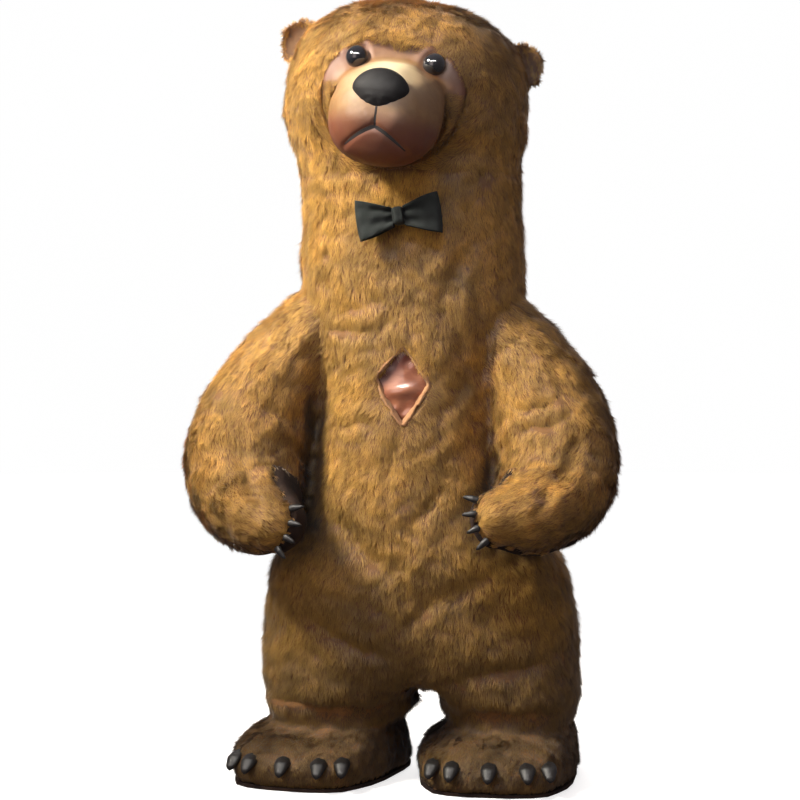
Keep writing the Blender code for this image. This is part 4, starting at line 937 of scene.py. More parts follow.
def makeZip():
    line, halves = zipLine()
    lengths = np.concatenate([[0], np.cumsum(np.linalg.norm(np.diff(line, axis=0), axis=1))])

    def onLine(at):
        return np.stack([np.interp(at, lengths, line[:, axis]) for axis in range(3)], axis=-1)

    def runOf(at):
        return unit(onLine(at + 0.004) - onLine(at - 0.004))

    wide = float(np.median(halves))
    rows = np.linspace(0, lengths[-1], 120)
    spots = onLine(rows)
    across = np.linspace(-1, 1, 9)
    dip = 0.0012 - 0.0009 * np.cos(across * math.pi) ** 2
    face = spots[:, None] + np.stack([across * wide, -dip, 0 * across], axis=-1)[None]
    tapeMesh = netMesh("zipTape", [face, face - (0, zipper["tapeWall"], 0)])
    band = standFor(newPiece("zipTape", tapeMesh, tape), "zip_metal", "zip_chain")
    tree = repeatTree()
    teeth, leans = [], []
    for side in (-1, 1):
        at = np.arange(0.006 + (side > 0) * zipper["pitch"] / 2, lengths[-1] - 0.004, zipper["pitch"])
        offset = np.array((side * (zipper["tooth"][0] / 2 - zipper["overlap"]), 0.0006, 0))
        teeth.append(onLine(at) + offset)
        leans.append(runOf(at))
    tooth = boxMesh("tooth", zipper["tooth"], 0.0005)
    chain = repeated(tree, "zipTeeth", np.concatenate(teeth), np.concatenate(leans), tooth, brass)
    standFor(chain, "zip_metal")
    stitches, leans = [], []
    for side in (-1, 1):
        at = np.arange(0.004, lengths[-1] - 0.003, zipper["stitchPitch"])
        stitches.append(onLine(at) + (side * (wide - 0.0022), 0.0001, 0))
        leans.append(runOf(at))
    stitch = boxMesh("stitch", zipper["stitch"], 0)
    sewing = repeated(tree, "zipStitches", np.concatenate(stitches), np.concatenate(leans), stitch, rawEdge)
    standFor(sewing, "zip_metal")
    for name in ("zip_slider", "zip_pull"):
        nodes[name].material_slots[0].material = brass


plush = {
    "voxel": 0.009,
    "filler": 0.965,
    "inset": 0.009,  # from the pile's outer face down to the backing
    "bareInset": 0.003,
    "overEye": 0.82,  # how much shorter the pile is over the eyes
    "peak": 0.25,  # how much longer it is in the middle of the brow
    "backingShare": 0.35,  # of the net's faces that the backing keeps under its pile
    "rimLift": 0.60,  # how far the pile stands off round the face
    "earBand": 0.016,  # how far the ears' pile comes round onto their fronts
    "fringe": 0.60,  # how much longer the pile is at the cheeks
    "collar": 0.013,  # how far the panels stand up round the face
    "collarWidth": 0.034,
    "seamDepth": 0.0025,
    "seamWidth": 0.007,
    "browLow": 0.20,  # in the head's axes, where the brow starts above the cheeks
    "browOver": 0.06,
    "calm": (0.30, 0.08, 0.08),  # creases near the opened seam: least share, from, over
    "leastIsland": 400,  # points; a smaller loose scrap of the net goes
}
pileEnds = {  # the share of its length that is left, and the distance over which it grows back
    "seam": (0.84, 0.0, 0.02),
    "claw": (0.55, 0.012, 0.04),
    "gap": (0.006, 0.045),
    "floor": (0.30, 0.0, 0.045),
}
ridgeRun = {"x": 0.001, "width": 0.007, "rise": 0.0045, "low": -0.165, "high": 0.10}  # over the front seam
# pile is its length, and thick is how many thousand locks stand on a square metre
peltRows = [  # piece, node, pile, thick, flat and area
    ("frontR", "body_front_R", 0.023, 222, (0.50, 1.42), 0.58),
    ("frontL", "body_front_L", 0.023, 222, (0.50, 1.42), 0.56),
    ("backR", "body_back_R", 0.024, 126, (0.52, 1.42), 0.65),
    ("backL", "body_back_L", 0.024, 126, (0.52, 1.42), 0.63),
    ("sleeveOuterR", "sleeve_outer_R", 0.023, 198, (0.46, 0.68), 0.27),
    ("sleeveOuterL", "sleeve_outer_L", 0.023, 198, (0.46, 0.68), 0.26),
    ("sleeveUnderR", "sleeve_under_R", 0.023, 198, (0.44, 0.52), 0.18),
    ("sleeveUnderL", "sleeve_under_L", 0.023, 198, (0.44, 0.50), 0.15),
    ("pawBackR", "paw_back_R", 0.021, 222, (0.30, 0.25), 0.061),
    ("pawBackL", "paw_back_L", 0.021, 222, (0.30, 0.25), 0.062),
    ("bootR", "boot_R", 0.017, 178, (1.40, 0.20), 0.22),
    ("bootL", "boot_L", 0.017, 178, (1.40, 0.20), 0.22),
    ("headSideR", "head_side_R", 0.019, 214, (0.62, 0.60), 0.34),
    ("headSideL", "head_side_L", 0.019, 214, (0.60, 0.58), 0.31),
    ("headGusset", "head_gusset", 0.017, 222, (0.19, 0.95), 0.165),
    ("headThroat", "head_throat", 0.019, 222, (0.26, 0.07), 0.011),
    ("earR", "ear_back_R", 0.012, 255, (0.18, 0.13), 0.0125),
    ("earL", "ear_back_L", 0.012, 255, (0.15, 0.10), 0.0075),
]
pelts = {
    name: {"nodes": [node], "pile": pile, "thick": thick, "flat": flat, "area": area}
    for name, node, pile, thick, flat, area in peltRows
}
barePanels = {
    "earInnerR": {"nodes": ["ear_inner_R"], "slot": "ear_plush", "flat": (0.12, 0.09), "area": 0.0082},
    "earInnerL": {"nodes": ["ear_inner_L"], "slot": "ear_plush", "flat": (0.10, 0.07), "area": 0.005},
    "palmR": {"nodes": ["paw_palm_R"], "slot": "dark_suede", "flat": (0.29, 0.26), "area": 0.062},
    "palmL": {"nodes": ["paw_palm_L"], "slot": "dark_suede", "flat": (0.29, 0.26), "area": 0.062},
}
armLines = {
    "R": np.array([(-0.156, -0.020, -0.024), (-0.352, -0.080, -0.257), (-0.408, -0.153, -0.440)]
                  + [(-0.378, -0.258, -0.556), (-0.290, -0.364, -0.598)]),
    "L": np.array([(0.128, -0.004, -0.024), (0.306, -0.056, -0.252), (0.371, -0.136, -0.435)]
                  + [(0.350, -0.262, -0.554), (0.244, -0.362, -0.580)]),
}
trunkLine = [(0, 0, -0.65), (0, 0, 0.20)]
legLines = {
    "R": [(-0.224, 0, -0.92), (-0.224, 0, -1.12)],
    "L": [(0.222, 0, -0.92), (0.222, 0, -1.12)],
}
bootLines = {
    "R": [(-0.215, 0.06, -1.22), (-0.26, -0.18, -1.22)],
    "L": [(0.222, 0.06, -1.22), (0.222, -0.18, -1.22)],
}
headLines = [
    [inHead((0, 0, -0.06)), inHead((0, 0, 0.26))],
    [inHead((0, -0.10, 0.15)), inHead((0, -0.40, 0.12))],
]
heaps = {"scales": (42, 78, 120, 175), "waves": 4, "rise": 0.0036, "headRise": 0.0032}
# pressed into the backing: x, side (front or back), z, lean from level, length, width, depth
creases = [
    (-0.095, -1, -0.205, 24, 0.063, 0.015, -0.0092),
    (-0.085, -1, -0.165, 12, 0.057, 0.015, -0.0082),
    (-0.120, -1, -0.120, -8, 0.069, 0.017, -0.0071),
    (-0.075, -1, -0.110, 16, 0.052, 0.013, -0.0071),
    (-0.130, -1, -0.060, 20, 0.069, 0.017, -0.0071),
    (-0.060, -1, -0.300, -18, 0.057, 0.015, -0.0082),
    (-0.105, -1, -0.345, 8, 0.057, 0.017, -0.0082),
    (0.080, -1, -0.205, -30, 0.063, 0.015, -0.0082),
    (0.110, -1, -0.255, -4, 0.057, 0.015, -0.0092),
    (0.085, -1, -0.320, 28, 0.057, 0.015, -0.0071),
    (0.150, -1, -0.150, -62, 0.103, 0.021, -0.0102),
    (0.120, -1, 0.010, 70, 0.092, 0.024, -0.0082),
    (-0.020, -1, -0.430, 84, 0.092, 0.015, -0.0090),
    (0.060, -1, -0.560, 60, 0.103, 0.024, -0.0135),
    (-0.120, -1, -0.640, -40, 0.127, 0.024, -0.0150),
    (0.140, -1, -0.760, 30, 0.138, 0.027, -0.0150),
    (-0.170, -1, -0.880, -22, 0.127, 0.024, -0.0180),
    (0.240, -1, -0.960, 14, 0.127, 0.022, -0.0180),
    (-0.240, -1, -1.060, -6, 0.138, 0.019, -0.0195),
    (0.230, -1, -1.075, 5, 0.138, 0.019, -0.0195),
    (-0.200, 1, -0.060, 50, 0.127, 0.027, -0.0180),
    (0.190, 1, -0.080, -46, 0.127, 0.027, -0.0180),
    (-0.090, 1, -0.420, 12, 0.127, 0.027, -0.0083),
    (0.100, 1, -0.470, -8, 0.138, 0.027, -0.0090),
    (-0.150, 1, -0.780, 28, 0.149, 0.027, -0.0165),
    (0.170, 1, -0.840, -24, 0.149, 0.027, -0.0165),
    (-0.230, 1, -1.050, 4, 0.138, 0.021, -0.0180),
    (0.230, 1, -1.060, -6, 0.138, 0.021, -0.0180),
    (0.330, -1, -0.300, 20, 0.069, 0.018, -0.0150),
    (0.350, -1, -0.345, 12, 0.063, 0.018, -0.0150),
    (-0.330, -1, -0.310, -24, 0.075, 0.019, -0.0135),
    (-0.370, -1, -0.480, -60, 0.092, 0.021, -0.0135),
    (0.400, -1, -0.470, 64, 0.092, 0.021, -0.0135),
]


def creasedBy(points, normals):
    push = np.zeros(len(points))
    for x, side, z, lean, length, width, depth in creases:
        turn = math.radians(lean)
        across, up = points[:, 0] - x, points[:, 2] - z
        along = across * math.cos(turn) + up * math.sin(turn)
        off = up * math.cos(turn) - across * math.sin(turn)
        off += 0.25 * width * np.sin(along / length * 4.0)
        facing = eased(normals[:, 1] * side * 2)
        push += depth * facing * np.exp(-((along / length) ** 2) - (off / width) ** 2)
    return push


def heaped(points):
    # soft uneven heaps, from -1 to 1, as plush mats in wear
    maker = np.random.default_rng(11)
    total = np.zeros(len(points))
    for scale in heaps["scales"]:
        for _ in range(heaps["waves"]):
            way = unit(maker.normal(size=3)) * scale
            total += np.sin(points @ way + maker.uniform(0, 6) + 1.4 * np.sin(points @ way[[1, 2, 0]] * 0.6))
    return np.clip(total / math.sqrt(len(heaps["scales"]) * heaps["waves"]), -1.6, 1.6) / 1.6


# settings of the painted shade where the suit closes the pile in
creviceShade = {"rays": 9, "reach": 0.20, "open": 0.10, "span": 0.45, "dark": 3.6, "headShare": 0.25}


def closeness(mesh):
    # how far the rest of the suit closes each point in, where the pile is painted darker as painted shade
    tree = surfaceOf(mesh)
    points, normals = pointsOf(mesh), normalsOf(mesh)
    maker = np.random.default_rng(3)
    total = np.zeros(len(points))
    for way in unit(maker.normal(size=(creviceShade["rays"], 3))):
        aims = unit(normals * 1.05 + way)
        for index, (start, aim) in enumerate(zip(points + normals * 0.008, aims)):
            away = tree.ray_cast(Vector(start), Vector(aim), creviceShade["reach"])[3]
            if away is not None:
                total[index] += 1 - away / creviceShade["reach"]
    return total / creviceShade["rays"]


def evened(values, edges, rounds):
    count = np.bincount(edges.ravel(), minlength=len(values))
    for _ in range(rounds):
        total = np.bincount(edges[:, 0], values[edges[:, 1]], len(values))
        total += np.bincount(edges[:, 1], values[edges[:, 0]], len(values))
        values = (values + total / count) / 2
    return values


def linesFor(name):
    # the lines down the middle of the part of the suit that a node belongs to
    side = "L" if "_L" in name else "R"
    if name.startswith(("sleeve", "paw")):
        return [armLines[side]]
    if name.startswith(("boot", "sole")):
        return [bootLines[side]]
    if name.startswith(("head", "ear", "face", "eye", "nose", "mouth")):
        return headLines
    return [trunkLine, *legLines.values()]


def facesOut(points, normals, lines):
    # whether points look away from the nearest of some lines
    best, middle = np.full(len(points), np.inf), np.zeros_like(points)
    for line in lines:
        line = np.array(line, float)
        for start, run in zip(line, np.diff(line, axis=0)):
            share = np.clip((points - start) @ run / (run @ run), 0, 1)
            spot = start + share[:, None] * run
            away = np.linalg.norm(points - spot, axis=1)
            middle = np.where((away < best)[:, None], spot, middle)
            best = np.minimum(best, away)
    return ((points - middle) * normals).sum(1) > 0


def bootFiller(name):
    # a lump inside a boot, whose sloping top is too thin for the voxels
    shape = bmesh.new()
    shape.from_mesh(nodes[name].data)
    bmesh.ops.remove_doubles(shape, verts=shape.verts, dist=1e-5)
    made = bmesh.ops.convex_hull(shape, input=shape.verts)
    spare = made["geom_interior"] + made["geom_unused"]
    loose = [item for item in spare if isinstance(item, bmesh.types.BMVert)]
    bmesh.ops.delete(shape, geom=loose, context="VERTS")
    hull = set(made["geom"])
    bmesh.ops.delete(shape, geom=[face for face in shape.faces if face not in hull], context="FACES")
    middle = sum((vert.co for vert in shape.verts), Vector()) / len(shape.verts)
    for vert in shape.verts:
        vert.co = middle + (vert.co - middle) * plush["filler"]
    return meshFrom(shape, "filler")


arch = {  # how far the legs' insides move across at each height, to the arch's worn shape
    "heights": (-1.240, -1.225, -1.202, -1.182, -1.161, -1.141, -1.121, -1.100, -1.080, -1.060, -1.030),
    "R": (0.000, -0.002, -0.006, -0.008, -0.008, -0.005, 0.010, 0.034, 0.034, 0.008, 0.000),
    "L": (0.000, 0.006, 0.015, 0.022, 0.024, 0.028, 0.022, -0.004, 0.000, 0.010, 0.000),
    "rise": 0.028,
}


def arched(points):
    x, z = points[:, 0], points[:, 2]
    side = eased((x - 0.01) / 0.04)
    toR = np.interp(z, arch["heights"], arch["R"]) * hollow(x + 0.010, 0.07, 1.0)
    toL = np.interp(z, arch["heights"], arch["L"]) * hollow(x - 0.050, 0.07, 1.0)
    rise = hollow(x - 0.055, 0.028, arch["rise"]) * hollow(z + 1.070, 0.035, 1.0)
    return points + np.stack([toR * (1 - side) + toL * side, 0 * x, rise], axis=-1)


def nearestLike(tree, vertex):
    # the nearest CAD triangle that faces the same way as a point of the net
    way, index = tree.find_nearest(vertex.co)[1:3]
    if way.dot(vertex.normal) < 0:
        hits = [hit for hit in tree.find_nearest_range(vertex.co, 0.03) if hit[1].dot(vertex.normal) > 0.3]
        if hits:
            index = min(hits, key=lambda hit: hit[3])[2]
    return index


def settled(labels, edges, count, rounds):
    # each point takes the label that most of its neighbours have
    for _ in range(rounds):
        votes = np.zeros((len(labels), count), np.float32)
        votes[np.arange(len(labels)), labels] = 1.5
        np.add.at(votes, (edges[:, 0], labels[edges[:, 1]]), 1)
        np.add.at(votes, (edges[:, 1], labels[edges[:, 0]]), 1)
        labels = votes.argmax(1)
    return labels


# where the arms lie against the body, and the crotch
tightPlaces = [((-0.27, -0.16, -0.52), 0.15), ((0.25, -0.16, -0.50), 0.15), ((0.03, 0.0, -1.05), 0.14)]


sight = {"rays": 28, "ahead": 1.1, "start": 0.004, "needed": 3}


def opensOut(spot, normal, tree):
    # whether a point on the cloth sees past all the rest of the suit
    maker = np.random.default_rng(2)
    start = spot + Vector(normal) * sight["start"]
    ways = unit(maker.normal(size=(sight["rays"], 3)) + normal * sight["ahead"])
    return sum(tree.ray_cast(start, Vector(way))[0] is None for way in ways) >= sight["needed"]


def outerSkin():
    # the whole costume's outer surface as one even net, each point with the CAD node that it lies on
    sewnOn = ("bow", "eye_", "nose", "mouth", "zip_pull", "zip_slider")
    names = [name for name in sorted(nodes) if "claw" not in name and not name.startswith(sewnOn)]
    shape = bmesh.new()
    for part in [joined(names), bootFiller("boot_R"), bootFiller("boot_L")]:
        shape.from_mesh(part)
    mesh = remeshed(meshFrom(shape, "whole"), plush["voxel"])
    corners, triangles, owners = [], [], []
    for index, name in enumerate(names):
        data = nodes[name].data
        start = len(corners)
        corners += [vertex.co for vertex in data.vertices]
        triangles += [[start + corner for corner in face.vertices] for face in data.polygons]
        owners += [index] * len(data.polygons)
    tree = BVHTree.FromPolygons(corners, triangles)
    owner = np.array([owners[nearestLike(tree, vertex)] for vertex in mesh.vertices])
    owner = settled(owner, edgesOf(mesh), len(names), 3)
    smoothed(mesh, 2)
    points, normals = pointsOf(mesh), normalsOf(mesh)
    out = np.ones(len(points), bool)
    for index, name in enumerate(names):
        mine = owner == index
        if not name.startswith("ear"):
            out[mine] = facesOut(points[mine], normals[mine], linesFor(name))
    tight = np.zeros(len(points), bool)
    for middle, reach in tightPlaces:
        tight |= np.linalg.norm(points - middle, axis=1) < reach
    whole = surfaceOf(mesh)
    for index in np.where(tight & ~out)[0]:
        out[index] = opensOut(Vector(points[index]), normals[index], whole)
    label = mesh.attributes.new("owner", "INT", "POINT")
    label.data.foreach_set("value", owner)
    mesh = keepFaces(mesh, [out[list(face.vertices)].all() for face in mesh.polygons])
    islands = islandOf(mesh)
    counts = np.bincount(islands)
    faceIslands = islands[[face.vertices[0] for face in mesh.polygons]]
    mesh = keepFaces(mesh, counts[faceIslands] > plush["leastIsland"])
    owner = np.empty(len(mesh.vertices), int)
    mesh.attributes["owner"].data.foreach_get("value", owner)
    mesh.attributes.remove(mesh.attributes["owner"])
    smoothed(mesh, 8)
    setPoints(mesh, arched(pointsOf(mesh)))
    return mesh, np.array(names)[owner]


def islandOf(mesh):
    # the number of the connected island that each point belongs to
    edges = edgesOf(mesh)
    label = np.arange(len(mesh.vertices))
    while True:
        lowest = np.minimum(label[edges[:, 0]], label[edges[:, 1]])
        before = label.copy()
        np.minimum.at(label, edges[:, 0], lowest)
        np.minimum.at(label, edges[:, 1], lowest)
        label = label[label]
        if (label == before).all():
            return label


def armDirections(points, side):
    line = armLines[side]
    steps = unit(np.diff(line, axis=0))
    middles = (line[1:] + line[:-1]) / 2
    weight = np.exp(-((np.linalg.norm(points[:, None] - middles, axis=-1) / 0.09) ** 2)) + 1e-9
    return unit((weight[..., None] * steps).sum(1) / weight.sum(1, keepdims=True))


def napOf(name, points, normals):
    # the way that the pile lies at each point, along the surface
    down = np.tile((0.0, 0.0, -1.0), (len(points), 1))
    side = name[-1]
    if name.startswith(("sleeve", "pawBack")):
        nap = armDirections(points, side)
    elif name.startswith("boot"):
        nap = unit(down * 0.8 + (0, -0.6, 0))
    elif name.startswith("ear"):
        nap = unit(points - points.mean(0)) * 0.5 + (0, 0.9, 0)
    elif name.startswith("head"):
        toFace = faceCentre - points
        near = eased(1 - faceReach(points) / 0.07) * (points[:, 1] < -0.10)
        fromCrown = unit((points - headLines[0][1]) * (1, 1, 0))
        nap = down + 0.6 * fromCrown + unit(toFace * (1, 0, 1)) * near[:, None] * 1.8
    else:
        nap = down
        if name.startswith("front"):
            away = points - seamMiddle
            away[:, 1] = 0
            below = 0.15 + 0.85 * eased(0.5 - away[:, 2] / 0.05)
            nap = nap + 1.8 * unit(away) * (below * hollow(np.linalg.norm(away, axis=1), 0.11, 1.0))[:, None]
    nap = nap - normals * (nap * normals).sum(-1, keepdims=True)
    return unit(nap)


pileValues = {
    "tipRise": 0.04,
    "stray": 0.28,  # how far a single lock may lean from its neighbours
    "width": 0.0022,  # of a lock where thick is 200
    "lift": 0.22,  # how far the pile stands up from its lie
    "swirl": 1.5,
    "swirlScale": 15.0,
    "clump": 13.5,
    "clumpScale": 46.0,
    "roll": 0.55,
    "softness": 0.80,  # how far the locks take their light from the panel under them
}


def bladeMesh():
    # a lock one unit wide at its root and one long
    corners = [(0.5, 0, 0), (-0.5, 0, 0), (0, pileValues["tipRise"], 1)]
    mesh = bpy.data.meshes.new("blade")
    mesh.from_pydata(corners, [], [(0, 1, 2)])
    giveAttribute(mesh, "tip", [corner[2] for corner in corners])
    return mesh


class Tree:
    # a Geometry Nodes tree with named inputs
    def __init__(self, name, **inputs):
        self.tree = bpy.data.node_groups.new(name, "GeometryNodeTree")
        self.sockets = {}
        for key, kind in {"Geometry": "NodeSocketGeometry", **inputs}.items():
            made = self.tree.interface.new_socket(key, in_out="INPUT", socket_type=kind)
            self.sockets[key] = made.identifier
        self.tree.interface.new_socket("Geometry", in_out="OUTPUT", socket_type="NodeSocketGeometry")
        self.start = self.tree.nodes.new("NodeGroupInput")

    def add(self, kind, settings=None, inputs=None, output=0):
        node = self.tree.nodes.new(kind)
        for key, value in (settings or {}).items():
            setattr(node, key, value)
        for key, value in (inputs or {}).items():
            if isinstance(value, bpy.types.NodeSocket):
                self.tree.links.new(value, node.inputs[key])
            else:
                node.inputs[key].default_value = value
        return node.outputs[output]

    def value(self, key):
        return self.start.outputs[key]

    def vector(self, operation, first, second=None, scale=None):
        given = {0: first}
        if second is not None:
            given[1] = second
        if scale is not None:
            given["Scale"] = scale
        return self.add("ShaderNodeVectorMath", {"operation": operation}, given)

    def number(self, operation, first, second):
        return self.add("ShaderNodeMath", {"operation": operation}, {0: first, 1: second})

    def named(self, name, kind="FLOAT"):
        return self.add("GeometryNodeInputNamedAttribute", {"data_type": kind}, {"Name": name})

    def chance(self, low, high, seed):
        # a number drawn for each lock
        given = {2: low, 3: high, "Seed": seed}
        return self.add("FunctionNodeRandomValue", {"data_type": "FLOAT"}, given, output=1)

    def stored(self, geometry, name, value, kind):
        given = {"Geometry": geometry, "Name": name, "Value": value}
        settings = {"data_type": kind, "domain": "INSTANCE"}
        return self.add("GeometryNodeStoreNamedAttribute", settings, given)

    def close(self, geometry):
        whole = self.add("GeometryNodeRealizeInstances", None, {"Geometry": geometry})
        given = {"Geometry": whole, "Material": self.value("Finish")}
        done = self.add("GeometryNodeSetMaterial", None, given)
        end = self.tree.nodes.new("NodeGroupOutput")
        self.tree.links.new(done, end.inputs[0])
        return self

    def grow(self, item, **values):
        # the tree's result on an object, as a plain mesh
        step = item.modifiers.new(self.tree.name, "NODES")
        step.node_group = self.tree
        for key, value in values.items():
            step[self.sockets[key]] = value
        return evaluated(item)


def pileTree():
    numbers = ("Density", "Spacing", "Width", "Lift", "Swirl", "SwirlScale", "Clump", "ClumpScale", "Roll")
    others = {"Seed": "NodeSocketInt", "Blade": "NodeSocketObject", "Finish": "NodeSocketMaterial"}
    tree = Tree("pileTree", **dict.fromkeys(numbers, "NodeSocketFloat"), **others)
    add, value = tree.add, tree.value
    given = {
        "Mesh": value("Geometry"),
        "Distance Min": value("Spacing"),
        "Density Max": value("Density"),
        "Seed": value("Seed"),
    }
    scatter = add("GeometryNodeDistributePointsOnFaces", {"distribute_method": "POISSON"}, given)
    normal = scatter.node.outputs["Normal"]
    place = add("GeometryNodeInputPosition")
    nap, pile, heap = tree.named("nap", "FLOAT_VECTOR"), tree.named("pile"), tree.named("heap")
    clumps = add("ShaderNodeTexVoronoi", None, {"Vector": place, "Scale": value("ClumpScale")})
    toClump = tree.vector("SUBTRACT", clumps.node.outputs["Position"], place)
    toClump = tree.vector("SCALE", toClump, scale=value("Clump"))
    given = {"Vector": place, "Scale": value("SwirlScale"), "Detail": 3.0}
    swirl = add("ShaderNodeTexNoise", None, given, output="Color")
    swirl = tree.vector("SCALE", tree.vector("SUBTRACT", swirl, (0.5, 0.5, 0.5)), scale=value("Swirl"))
    stray = pileValues["stray"]
    given = {0: (-stray,) * 3, 1: (stray,) * 3}
    stray = add("FunctionNodeRandomValue", {"data_type": "FLOAT_VECTOR"}, given)
    lift = tree.vector("SCALE", normal, scale=value("Lift"))
    lie = tree.vector("ADD", tree.vector("ADD", nap, lift), tree.vector("ADD", toClump, swirl))
    lie = tree.vector("NORMALIZE", tree.vector("ADD", lie, stray))
    turn = add("FunctionNodeAlignRotationToVector", {"axis": "Z"}, {"Vector": lie})
    settings = {"axis": "Y", "pivot_axis": "Z"}
    turn = add("FunctionNodeAlignRotationToVector", settings, {"Rotation": turn, "Vector": normal})
    half = tree.number("MULTIPLY", value("Roll"), 0.5)
    low = tree.number("MULTIPLY", half, -1.0)
    roll = tree.chance(low, half, 3)
    twist = add("FunctionNodeAxisAngleToRotation", None, {"Axis": (0, 0, 1), "Angle": roll})
    given = {"Rotation": turn, "Rotate By": twist}
    turn = add("FunctionNodeRotateRotation", {"rotation_space": "LOCAL"}, given)
    share = tree.chance(0.7, 1.2, 5)
    length = tree.number("MULTIPLY", pile, share)
    broad = tree.number("MULTIPLY", value("Width"), share)
    size = add("ShaderNodeCombineXYZ", None, {"X": broad, "Y": length, "Z": length})
    lock = add("GeometryNodeObjectInfo", None, {"Object": value("Blade")}, output="Geometry")
    given = {"Points": scatter, "Instance": lock, "Rotation": turn, "Scale": size}
    locks = add("GeometryNodeInstanceOnPoints", None, given)
    single = tree.chance(0.0, 1.0, 7)
    shared = add("FunctionNodeSeparateColor", None, {0: clumps.node.outputs["Color"]})
    # a lock's tone: partly random, partly its clump's, and partly the heap attribute, which paints the heaps'
    # hollows and the suit's crevices darker as painted shade
    tone = tree.number("ADD", tree.number("MULTIPLY", single, 0.25), tree.number("MULTIPLY", shared, 0.33))
    tone = tree.number("ADD", tone, tree.number("MULTIPLY", heap, 0.42))
    locks = tree.stored(locks, "tone", tone, "FLOAT")
    return tree.close(tree.stored(locks, "under", normal, "FLOAT_VECTOR"))


def softened(mesh):
    # the locks' shading leans towards that of the panel under them, as matted plush does
    under = unit(vectorsOf(mesh.attributes["under"].data, "vector"))
    own = normalsOf(mesh)
    own *= np.where((own * under).sum(1, keepdims=True) < 0, -1, 1)
    share = pileValues["softness"]
    mesh.normals_split_custom_set_from_vertices(unit(own * (1 - share) + under * share))
    mesh.attributes.remove(mesh.attributes["under"])


pads = {"toe": (0.017, 0.0050), "heel": (0.036, 0.0065), "toePlace": 0.30}


def padPush(points, owner):
    # soft pads on the palms: one for each claw and a broad one behind them
    push = np.zeros(len(points))
    for side in "RL":
        mine = owner == f"paw_palm_{side}"
        middle = points[mine].mean(0)
        push += hollow(np.linalg.norm(points - middle, axis=1), *pads["heel"]) * mine
        for number in range(1, 5):
            low, high = (np.array(corner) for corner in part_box(f"paw_claw_{side}{number}"))
            spot = (low + high) / 2 * (1 - pads["toePlace"]) + middle * pads["toePlace"]
            push += hollow(np.linalg.norm(points - spot, axis=1), 0.024, pads["toe"][1]) * mine
    return push


ruff = {"low": 0.215, "fade": 0.045, "reach": 0.138, "ahead": 0.304, "pile": 0.018, "thick": 190}


def cheekRuff(tree, lock):
    # pile from the cheeks and throat that comes in over the moulded face's rim
    mesh = faceMesh.copy()
    own = fromHead(pointsOf(mesh))
    x, ahead, rise = own[:, 0], -own[:, 1], own[:, 2]
    pile = ruff["pile"] * eased((ruff["low"] - rise) / ruff["fade"])
    pile = pile * (1 - 0.6 * eased((ahead - 0.262) / 0.035))
    wanted = (np.hypot(x, rise - 0.150) > ruff["reach"]) & (pile > 0.004)
    wanted &= (ahead < ruff["ahead"]) & (ahead > 0.205)
    giveAttribute(mesh, "pile", pile)
    giveAttribute(mesh, "heap", heaped(pointsOf(mesh)) * 0.5 + 0.15)
    normals = normalsOf(mesh)
    lie = unit((faceCentre - pointsOf(mesh)) * (1, 0, 1)) * 1.2 + (0, -0.25, -0.7)
    lie = unit(lie - normals * (lie * normals).sum(-1, keepdims=True)) + normals * 0.25
    giveAttribute(mesh, "nap", lie)
    bed = keepFaces(mesh, [wanted[list(face.vertices)].all() for face in mesh.polygons])
    carrier = newPiece("cheekRuffCarrier", bed)
    grown = tree.grow(carrier, **pileSettings(ruff["thick"], 90), Blade=lock, Finish=fur)
    softened(grown)
    return newPiece("cheekRuff", grown, fur)


def pileSettings(thick, seed):
    return {
        "Density": thick * 6000.0,
        "Spacing": 0.80 / math.sqrt(thick * 1000.0),
        "Width": pileValues["width"] * math.sqrt(200 / thick),
        "Lift": pileValues["lift"],
        "Swirl": pileValues["swirl"],
        "SwirlScale": pileValues["swirlScale"],
        "Clump": pileValues["clump"],
        "ClumpScale": pileValues["clumpScale"],
        "Roll": pileValues["roll"],
        "Seed": seed,
    }


def belongs(owner, *starts):
    # which points lie on nodes whose names start so
    return np.array([name.startswith(starts) for name in owner])


def grownBack(distance, least, start, over):
    # a share that is least at no distance, and whole again further off
    return least + (1 - least) * eased((distance - start) / over)


def browShare(own):
    # 0 on the cheeks and 1 above the eyes, for points in the head's axes
    return eased((own[:, 2] - plush["browLow"]) / plush["browOver"])


def panelDepth(points, normals, owner, heap, toSeam, toFace):
    # how far the backing lies under the pile's outer face
    limb, front = ~belongs(owner, "head", "ear", "face"), points[:, 1] < 0
    toLining = np.linalg.norm((points - seamMiddle) * (1, 0, 1), axis=1)
    calm = np.where(front, grownBack(toLining, *plush["calm"]), 1.0)
    depth = plush["inset"] + hollow(toSeam, plush["seamWidth"], plush["seamDepth"])
    depth -= creasedBy(points, normals) * limb * calm
    rise = np.where(limb, heaps["rise"], heaps["headRise"])
    depth -= heap * rise * calm * ~belongs(owner, "paw_palm", "ear")
    brow = browShare(fromHead(points))
    depth -= hollow(toFace, plush["collarWidth"], plush["collar"]) * (0.45 + 0.40 * brow)
    bare = belongs(owner, "paw_palm", "ear_inner")
    depth = np.where(bare, plush["bareInset"] - padPush(points, owner), depth)
    x, z = points[:, 0], points[:, 2]
    ridge = hollow(x - ridgeRun["x"], ridgeRun["width"], ridgeRun["rise"])
    ridge *= eased((z - ridgeRun["low"]) / 0.02)
    return depth - ridge * front * eased((ridgeRun["high"] - z) / 0.04)


